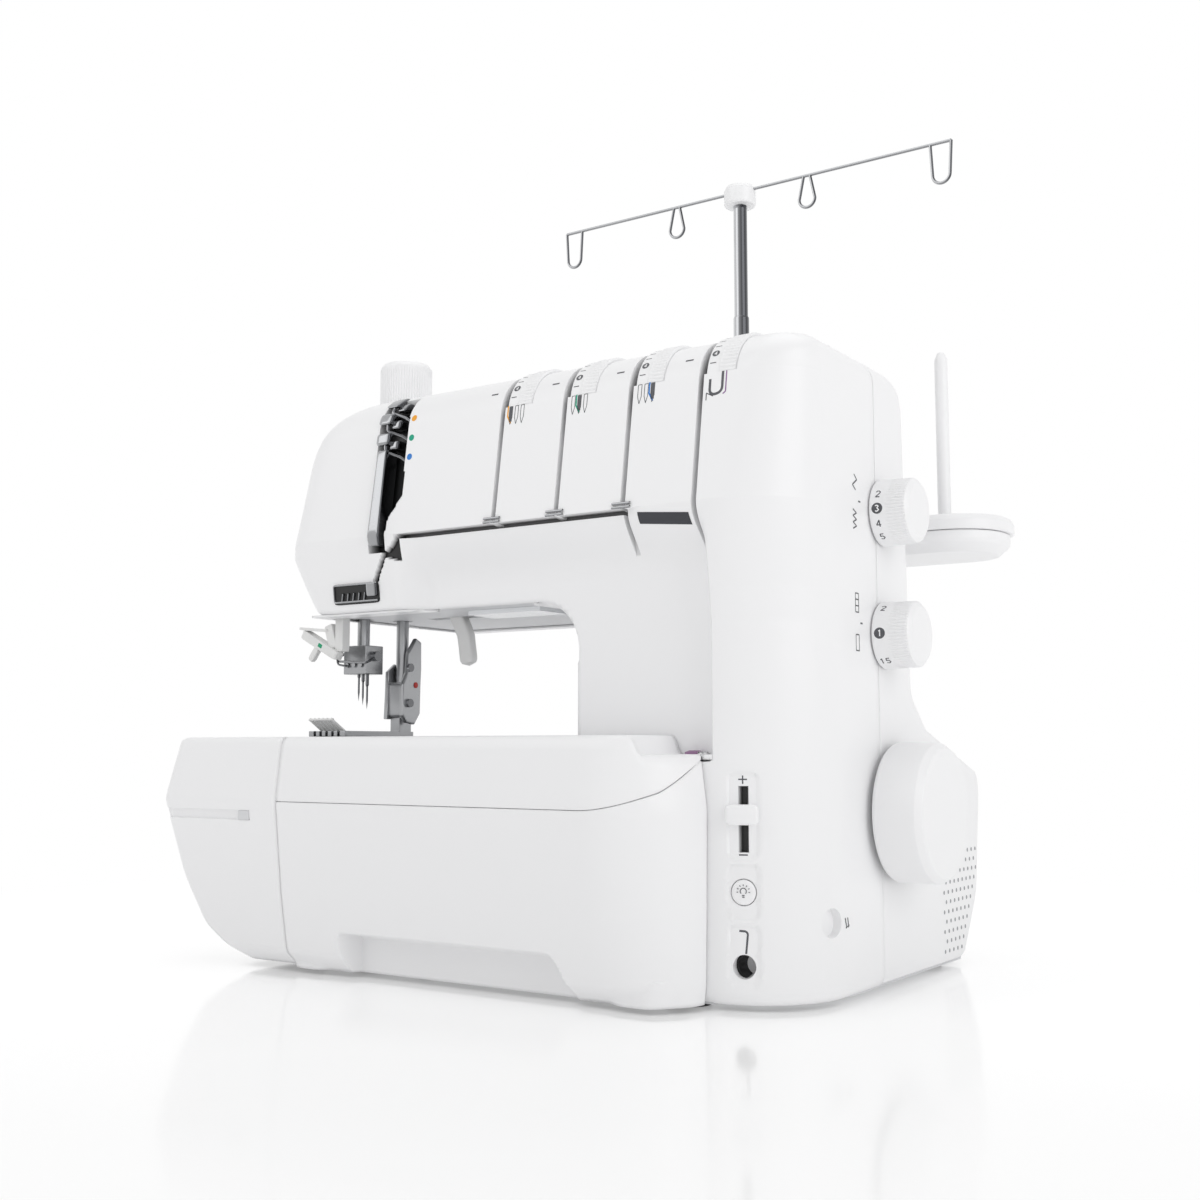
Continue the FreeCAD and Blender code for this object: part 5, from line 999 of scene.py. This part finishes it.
def tilted(flat, angle):
    """Turns points about the y axis, left end up."""
    c, s = math.cos(angle), math.sin(angle)
    x, y, z = np.moveaxis(flat, -1, 0)
    return grid_of(x * c + z * s, y, z * c - x * s)


arm = tilted(pillow((15.0, 3.3, 2.6), 0.2), ARM_TURN) + (-137.5, -79.4, 172.2)
blade = tilted(pillow((11.0, 3.0, 0.8), 0.2), 0.1) + (-142.5, -79.4, 181.0)
tab = tilted(pillow((1.9, 1.8, 5.0), 0.4), 0.65) + (-142.0, -80.2, 167.6)
stem = pillow((2.9, 3.0, 16.0), 0.15) + (-123.4, -78.0, 184.0)
neck = tilted(pillow((3.0, 2.5, 7.0), 0.2), -0.3) + (-130.0, -78.6, 176.5)
threader = skin("threader_slide", milky, arm, blade, tab, stem, neck)
place(threader, "threader", "grey_plastic", "needle_threader")
# Green lacquer: a small mark that tells the threader's working end
green_lacquer = surface("green lacquer", "#129A6E", 0.5, grain=0.0)
spot = tilted(pillow((1.6, 0.25, 1.1), 0.25), ARM_TURN) + (-136.0, -82.6, 171.6)
place(skin("threader_mark", green_lacquer, spot), "threader", "grey_plastic")

# Window and bed screw: a smoked window in the slope under the fourth groove and a screw on the ledge.
# The window is one sheet of acrylic laid on the slope; the screw and its nylon washer are turned.
# Smoked acrylic: near black with a clean gloss, so it reads as a window and not as paint
smoked = surface("smoked acrylic", "#34363C", 0.15, grain=0.0)
across, down = np.meshgrid(np.linspace(0, 1, 24), np.linspace(0, 1, 7))
window_x = 87.6 + 27.0 * across
window_z = 215.9 + 5.2 * down + 2.4 * (1 - across)
window_y = recessed(window_x, window_z)[0] - 0.12
window = skin("smoked_window", smoked, grid_of(window_x, window_y, window_z))
place(window, "machine", "clear_plastic")
SCREW_SPOT = (110.8, -91.4, 0)
collar = turned([(4.6, 111.7), (4.4, 112.9), (2.5, 113.7), (2.3, 112.5)], "z", SCREW_SPOT, steps=40)
head = turned([(2.2, 111.8), (2.2, 113.4), (0.01, 113.9)], "z", SCREW_SPOT, steps=40)
place(skin("bed_screw", chrome, head), "machine", "chrome")
# Violet nylon: a coloured washer that marks the looper thread's path
violet_nylon = surface("violet nylon", "#8E6A8C", 0.5, grain=0.0)
place(skin("bed_washer", violet_nylon, collar), "machine", "grey_plastic")

# Printed marks: generic signs in grey and colour, laid as thin ribbons on the casing and the dials.
# Each sign is a flat stroke of some width, drawn in two directions and then laid on its surface.
INK_OUT, BUTTON_OUT = 0.05, 0.34


def ribbon(line, width):
    """A flat stroke: the line's points set off to both sides by half the width."""
    line = filled(np.array(line, float), 0.4)
    along = direction(line)
    across = np.stack([-along[:, 1], along[:, 0]], axis=1) * width / 2
    return np.stack([line - across, line + across])


def blot(u, v, radius):
    """A flat disc as rings of points round its middle."""
    ring = np.linspace(0.001, radius, 4)[:, None]
    angle = np.linspace(0, 2 * math.pi, 33)
    return np.stack([u + ring * np.cos(angle), v + ring * np.sin(angle)], axis=-1)


def inked(name, material, body, laid, *shapes):
    """Lays flat shapes on a surface as one thin printed piece that rides a body."""
    piece = skin(name, material, *[laid(shape) for shape in shapes])
    return place(piece, body, "grey_plastic")


def raised(flat, out):
    """Flat points with their distance out of the surface added as a third value."""
    return join(flat, np.full(flat.shape[:-1] + (1,), out), axis=-1)


def on_front(flat):
    """Lays (x, z) points on the leaning front panel."""
    return on_panel(raised(flat, INK_OUT))


def on_strip(flat):
    """Lays (sideways, height) points on the sunk floor of the control strip."""
    return on_corner(raised(flat, INK_OUT - STRIP_DEEP))


def on_bend(flat):
    """Lays (sideways, height) points on the column's rounded corner beside the strip."""
    return on_corner(raised(flat, INK_OUT))


def on_button(flat):
    """Lays (sideways, height) points on the domed end of the lamp button."""
    return on_corner(raised(flat, BUTTON_OUT))


def on_side(flat):
    """Lays (y, z) points on the flat right wall."""
    return grid_of(RIGHT + INK_OUT, flat[..., 0], flat[..., 1])


# Printing ink: flat colours without gloss, so the signs stay readable at every angle
INKS = {"grey": "#55565A", "orange": "#F2A62B", "green": "#12A181", "blue": "#2F7FD0", "violet": "#8A5C93"}
grey_ink, orange_ink, green_ink, blue_ink, violet_ink = (
    surface(f"{name} printing ink", code, 0.6, grain=0.0) for name, code in INKS.items())
threads = (orange_ink, green_ink, blue_ink)
for ink, high in zip(threads, (288.9, 278.0, 267.5)):
    name = ink.name.split()[0]
    inked(f"thread_dot_{name}", ink, "machine", on_front, blot(-58.4, high, 1.75))
NEEDLE_FIRST, NEEDLE_STEP = 3.2, 3.6
signs = [ribbon([(left - 12.4, 294.8), (left - 8.2, 294.8)], 0.8) for left in DIAL_X]
for number, left in enumerate(DIAL_X[:3]):
    for needle in range(3):
        x = left + NEEDLE_FIRST + NEEDLE_STEP * needle
        outline = [(x - 1, 286), (x + 1, 286), (x + 1, 280), (x, 276.5), (x - 1, 280), (x - 1, 286)]
        signs.append(ribbon(outline, 0.35))
        if needle == number:
            signs.append(ribbon([(x, 285.8), (x, 278)], 1.8))
    x = left + NEEDLE_FIRST + NEEDLE_STEP * number
    inked(f"thread_sign_{number + 1}", threads[number], "machine", on_front,
          ribbon([(x - 1.9, 286.5), (x - 1.9, 281), (x + 0.4, 277)], 0.8))
left = DIAL_X[3]
looper = softened([(left + 9.5, 286), (left + 9.5, 276), (left + 3, 275), (left + 3, 283)], [3, 2.5], 6)
signs.append(ribbon(looper, 1.3))
signs.append(ribbon([(left + 5, 274.6), (left + 1.4, 276.5), (left + 1.4, 273)], 0.5))
inked("panel_signs", grey_ink, "machine", on_front, *signs)
inked("looper_sign", violet_ink, "machine", on_front,
      ribbon(softened([(left + 11.4, 286), (left + 11.4, 276), (left + 10, 275)], [1], 5), 0.6))
# Signs of the control strip, of the round opening beside it and of the lamp button
strip_signs = [ribbon([(-2, 101), (2, 101)], 0.6), ribbon([(0, 99), (0, 103)], 0.6),
               ribbon([(-2, 68.0), (2, 68.0)], 0.65),
               ribbon(softened([(-2.2, 35.2), (1.8, 35), (0.8, 25.4)], [1.5], 6), 0.9)]
inked("strip_signs", grey_ink, "machine", on_strip, *strip_signs)
access_sign = [ribbon([(52.6, 39.0), (54.0, 34.4)], 0.9), ribbon([(55.0, 39.0), (56.0, 34.6)], 0.9),
               ribbon([(53.0, 34.6), (56.8, 35.6)], 0.5)]
inked("access_sign", grey_ink, "machine", on_bend, *access_sign)
BULB_Z, BULB_ROUND, RAY_ENDS = LIGHT_Z + 0.6, 1.35, (2.3, 3.0)
bulb_angle = np.linspace(-0.25 * math.pi, 1.25 * math.pi, 22)
bulb = np.stack([BULB_ROUND * np.cos(bulb_angle), BULB_Z + BULB_ROUND * np.sin(bulb_angle)], axis=1)
rays = [ribbon([(reach * math.cos(a), BULB_Z + reach * math.sin(a)) for reach in RAY_ENDS], 0.35)
        for a in np.linspace(-0.15, math.pi + 0.15, 7)]
lamp_sign = [ribbon(bulb, 0.35), ribbon([(-0.6, LIGHT_Z - 1.2), (0.6, LIGHT_Z - 1.2)], 0.4),
             ribbon([(-0.5, LIGHT_Z - 1.9), (0.5, LIGHT_Z - 1.9)], 0.4), *rays]
inked("lamp_sign", grey_ink, "light_button", on_button, *lamp_sign)

# Dial marks: a dark number disc and ticks on each tension dial, and numbers on the two side dials.
# Thin printed strokes bent round the dials; the number on each disc is left white.
TICK_SPOTS, DISC_U, DISC_V = (9.5, 20.5, 25.5, 31), 3.2, 15.2
SIDE_NUMBERS = {"stitch_length": ("3", ("2", 171, 7.5), ("4", 171, -7.5), ("5", 171, -15)),
                "differential": ("1", ("2", 171, 14), ("1", 169.5, -15), ("5", 172.6, -15))}
DIGITS = {"1": [[(0.15, 0.8), (0.35, 1), (0.35, 0)]],
          "2": [[(0, 0.8), (0.15, 1), (0.45, 1), (0.6, 0.8), (0.55, 0.6), (0, 0), (0.6, 0)]],
          "3": [[(0, 0.9), (0.3, 1), (0.55, 0.8), (0.3, 0.55), (0.6, 0.25), (0.3, 0), (0, 0.1)]],
          "4": [[(0.45, 0), (0.45, 1), (0, 0.3), (0.65, 0.3)]],
          "5": [[(0.55, 1), (0.1, 1), (0.05, 0.55), (0.4, 0.6), (0.6, 0.3), (0.35, 0), (0, 0.1)]]}


def digit(sign, u, v, high, width):
    """Strokes of a numeral of some height about a middle point."""
    return [ribbon((np.array(line) - (0.3, 0.5)) * high + (u, v), width) for line in DIGITS[sign]]


def on_dial(left, out):
    """The function that lays (along, arc length) points on a tension dial's smooth band."""
    def lay(flat):
        """Bends the arc length round the dial's axis at its radius."""
        turn = flat[..., 1] / out
        return grid_of(left + flat[..., 0], DIAL_Y - out * np.cos(turn), DIAL_Z + out * np.sin(turn))
    return lay


def on_skirt(high, out):
    """The function that lays (along, arc length) points on a side dial's skirt, from its front."""
    def lay(flat):
        """Bends the arc length round the dial's axis, on a radius that narrows along the skirt."""
        radius = 16.5 - 0.4 * (flat[..., 0] - 167.6) / 6.8 + out
        turn = flat[..., 1] / 16.4
        return grid_of(flat[..., 0], SIDE_Y - radius * np.cos(turn), high + radius * np.sin(turn))
    return lay


ticks = [ribbon([(1.4, spot), (4.6, spot)], 0.5) for spot in TICK_SPOTS] + [blot(DISC_U, DISC_V, 1.9)]
for number, left in enumerate(DIAL_X, start=1):
    inked(f"dial_ticks_{number}", grey_ink, f"tension_{number}", on_dial(left, 26.36), *ticks)
    strokes = map(on_dial(left, 26.4), digit("4", DISC_U, DISC_V, 2.2, 0.4))
    place(skin(f"dial_number_{number}", white_abs, *strokes), f"tension_{number}", "white_shell")
for body, high in SIDE_DIALS:
    middle, *numbers = SIDE_NUMBERS[body]
    strokes = [stroke for sign, along, spot in numbers for stroke in digit(sign, along, spot, 3.4, 0.55)]
    inked(f"{body}_numbers", grey_ink, body, on_skirt(high, 0.05), blot(171, 0, 2.7), *strokes)
    strokes = map(on_skirt(high, 0.1), digit(middle, 171, 0, 3.0, 0.55))
    place(skin(f"{body}_middle", white_abs, *strokes), body, "white_shell")
zigzag = np.stack([np.tile([-37.0, -33.0], 4)[:7], np.linspace(217.6, 226.9, 7)], axis=1)
side_signs = [ribbon([(-30.8, 231.3), (-28.2, 231.3)], 0.8), ribbon([(-30.8, 173.2), (-28.2, 173.2)], 0.8),
              ribbon([(-33.5, 236.4), (-37, 238.5), (-32, 241.5), (-35.2, 243.8)], 0.8), ribbon(zigzag, 0.7),
              ribbon([(-36, 178.2), (-32.4, 178.2), (-32.4, 187.1), (-36, 187.1), (-36, 178.2)], 0.6),
              ribbon([(-36, 181.2), (-32.4, 181.2)], 0.6), ribbon([(-36, 184.2), (-32.4, 184.2)], 0.6),
              ribbon([(-36, 160.1), (-32.4, 160.1), (-32.4, 167.6), (-36, 167.6), (-36, 160.1)], 0.6)]
inked("side_signs", grey_ink, "machine", on_side, *side_signs)

# Vents: a field of small round holes beside the motor, low on the right side of the rear casing.
# Each is a flat disc laid on the wall, in rows set off by half a step, as far back as the wall is flat.
VENT_Y, VENT_Z, VENT_PITCH_Y, VENT_PITCH_Z, VENT_ROUND = 69.0, 10.0, 6.0, 5.0, 1.05
line, step = np.meshgrid(np.arange(11), np.arange(11), indexing="ij")
vent_y = VENT_Y + (step + 0.5 * (line % 2)) * VENT_PITCH_Y
vent_z = VENT_Z + line * VENT_PITCH_Z
vent_rear = np.interp(vent_z, lower_line[:, 1], lower_line[:, 0]) - REAR_CORNER
holes = [blot(y, z, VENT_ROUND) for y, z in np.stack([vent_y, vent_z], axis=-1)[vent_y < vent_rear]]
# Shadowed hole: mid grey, because each vent shows only the dim inside of the casing
shadow = surface("shadowed hole", "#A2A3A6", 0.8, grain=0.0)
place(skin("vent_holes", shadow, *[on_side(hole) for hole in holes]), "machine", "white_shell")

# Working parts left as built: plates, bars, frame, drive and feet keep their solids and get materials.
# They are nylon, acrylic, steel, aluminium, bronze and rubber; those in sight get softly broken edges.
EDGE_WIDE, EDGE_STEPS = 0.4, 2
BLACK_PARTS = ("power_inlet", "knee_lift_socket")
EASED_PARTS = ("needle_clamp", "foot_sole", "table_latch", "led_lens", "arm_underside_cover", "needle_plate",
               "free_arm")
# Pale nylon: a light grey with a dull sheen, a shade under the casing
grey_plastic = surface("pale grey nylon", "#DADBDD", 0.45, grain=0.06)
# Frosted acrylic: almost white and a little glossy, like a lens over a lamp
clear_plastic = surface("frosted acrylic", "#EDEFF1", 0.25, grain=0.02)
# Cast aluminium: a coarse grey grain that breaks up the light
cast_metal = surface("cast aluminium", "#9EA0A3", 0.5, 0.9, grain=0.35, size=500)
# Sintered bronze: warm brown rings in the grey frame
bronze = surface("sintered bronze", "#8E6B3E", 0.45, 0.9, grain=0.2)
# Motor enamel: an even black with a soft gloss
motor_paint = surface("black motor enamel", "#26272A", 0.4, grain=0.05)
# Belt rubber: the deepest black, without gloss
belt_rubber = surface("belt rubber", "#1B1B1C", 0.7, grain=0.2)
# Foot rubber: a dusty black that holds the machine's lower edge
foot_rubber = surface("foot rubber", "#2A2A2B", 0.75, grain=0.2)
SLOT_LOOKS = {"white_shell": white_abs, "grey_plastic": grey_plastic, "clear_plastic": clear_plastic,
              "steel": steel, "chrome": chrome, "cast_aluminium": cast_metal, "bronze": bronze,
              "motor_paint": motor_paint, "belt_rubber": belt_rubber, "foot_rubber": foot_rubber}
for part in frame["record"]["subparts"]:
    mesh = frame["nodes"][part["node"]].data
    mesh.materials.clear()
    mesh.materials.append(SLOT_LOOKS[part["material_slot"]])
for node in BLACK_PARTS:
    frame["nodes"][node].data.materials[0] = black_nylon
for node in EASED_PARTS:
    frame["nodes"][node].modifiers.new("weld", "WELD")
    rim = frame["nodes"][node].modifiers.new("rim", "BEVEL")
    rim.width = EDGE_WIDE * MM
    rim.segments = EDGE_STEPS
    rim.limit_method = "ANGLE"

# Floor, lamps, sky and camera: a pale floor that catches the contact shadow and a weak mirror image.
# Three large soft lamps and a white sky light it; the camera stands where the photograph was taken.
floor_mesh = bpy.data.meshes.new("floor")
floor_mesh.from_pydata([(-6, -6, 0), (6, -6, 0), (6, 6, 0), (-6, 6, 0)], [], [(0, 1, 2, 3)])
floor = bpy.data.objects.new("floor", floor_mesh)
bpy.context.collection.objects.link(floor)
# White sweep: matt white under a thin glossy film near the object, fading to plain white further out
sweep = surface("white studio sweep", "#E6E6E6", 0.1, grain=0.0, size=3.0)
tree = sweep.node_tree
film = tree.nodes["Principled BSDF"]
film.inputs["Emission Color"].default_value = linear("#FFFFFF")
film.inputs["Emission Strength"].default_value = 0.22
film.inputs["Specular IOR Level"].default_value = 0.22
coords = add_node(tree, "ShaderNodeTexCoord")
away = add_node(tree, "ShaderNodeVectorMath", {}, {0: coords.outputs["Object"]}, operation="LENGTH")
fade = add_node(tree, "ShaderNodeMapRange", {"From Min": 0.3, "From Max": 0.62},
                {"Value": away.outputs["Value"]}, interpolation_type="SMOOTHSTEP")
plain = add_node(tree, "ShaderNodeEmission", {"Color": linear("#FFFFFF"), "Strength": 1.0})
blend = add_node(tree, "ShaderNodeMixShader", {},
                 {0: fade.outputs["Result"], 1: film.outputs[0], 2: plain.outputs[0]})
tree.links.new(blend.outputs[0], tree.nodes["Material Output"].inputs["Surface"])
floor_mesh.materials.append(sweep)

# White sky: full white where it is seen or mirrored, weaker where it only lights
world = bpy.data.worlds.new("white studio")
bpy.context.scene.world = world
world.use_nodes = True
sky = world.node_tree
sky.nodes.clear()
path = add_node(sky, "ShaderNodeLightPath")
seen = add_node(sky, "ShaderNodeMath", {},
                {0: path.outputs["Is Camera Ray"], 1: path.outputs["Is Glossy Ray"]}, operation="MAXIMUM")
clear = add_node(sky, "ShaderNodeMath", {}, {0: seen.outputs[0], 1: path.outputs["Is Transmission Ray"]},
                 operation="MAXIMUM")
level = add_node(sky, "ShaderNodeMapRange", {"To Min": 0.52, "To Max": 1.0}, {"Value": clear.outputs[0]})
glow = add_node(sky, "ShaderNodeBackground", {"Color": (1, 1, 1, 1)}, {"Strength": level.outputs["Result"]})
add_node(sky, "ShaderNodeOutputWorld", {}, {"Surface": glow.outputs[0]})


def lamp(name, spot, target, size, power):
    """A square soft lamp at a spot, turned towards a target."""
    data = bpy.data.lights.new(name, "AREA")
    data.size = size
    data.energy = power
    light = bpy.data.objects.new(name, data)
    light.location = spot
    aim = np.array(target) - np.array(spot)
    flat = math.hypot(aim[0], aim[1])
    light.rotation_euler = (math.atan2(flat, -aim[2]), 0, math.atan2(aim[1], aim[0]) - math.pi / 2)
    bpy.context.collection.objects.link(light)


lamp("key", (-0.9, -1.5, 1.5), (0, 0, 0.15), 1.4, 7)
lamp("fill", (1.9, -0.5, 0.9), (0.1, 0, 0.15), 1.4, 9.5)
lamp("top", (0.1, 0.2, 1.9), (0.05, 0, 0.2), 1.6, 7)

view = bpy.data.cameras.new("camera")
view.sensor_width = 36
view.lens = 42.6137
camera = bpy.data.objects.new("camera", view)
camera.location = (0.4383, -0.651, 0.115)
camera.rotation_euler = (math.radians(95.9284), 0, math.radians(34.1268))
bpy.context.collection.objects.link(camera)
bpy.context.scene.camera = camera
bpy.context.scene.view_settings.view_transform = "Standard"
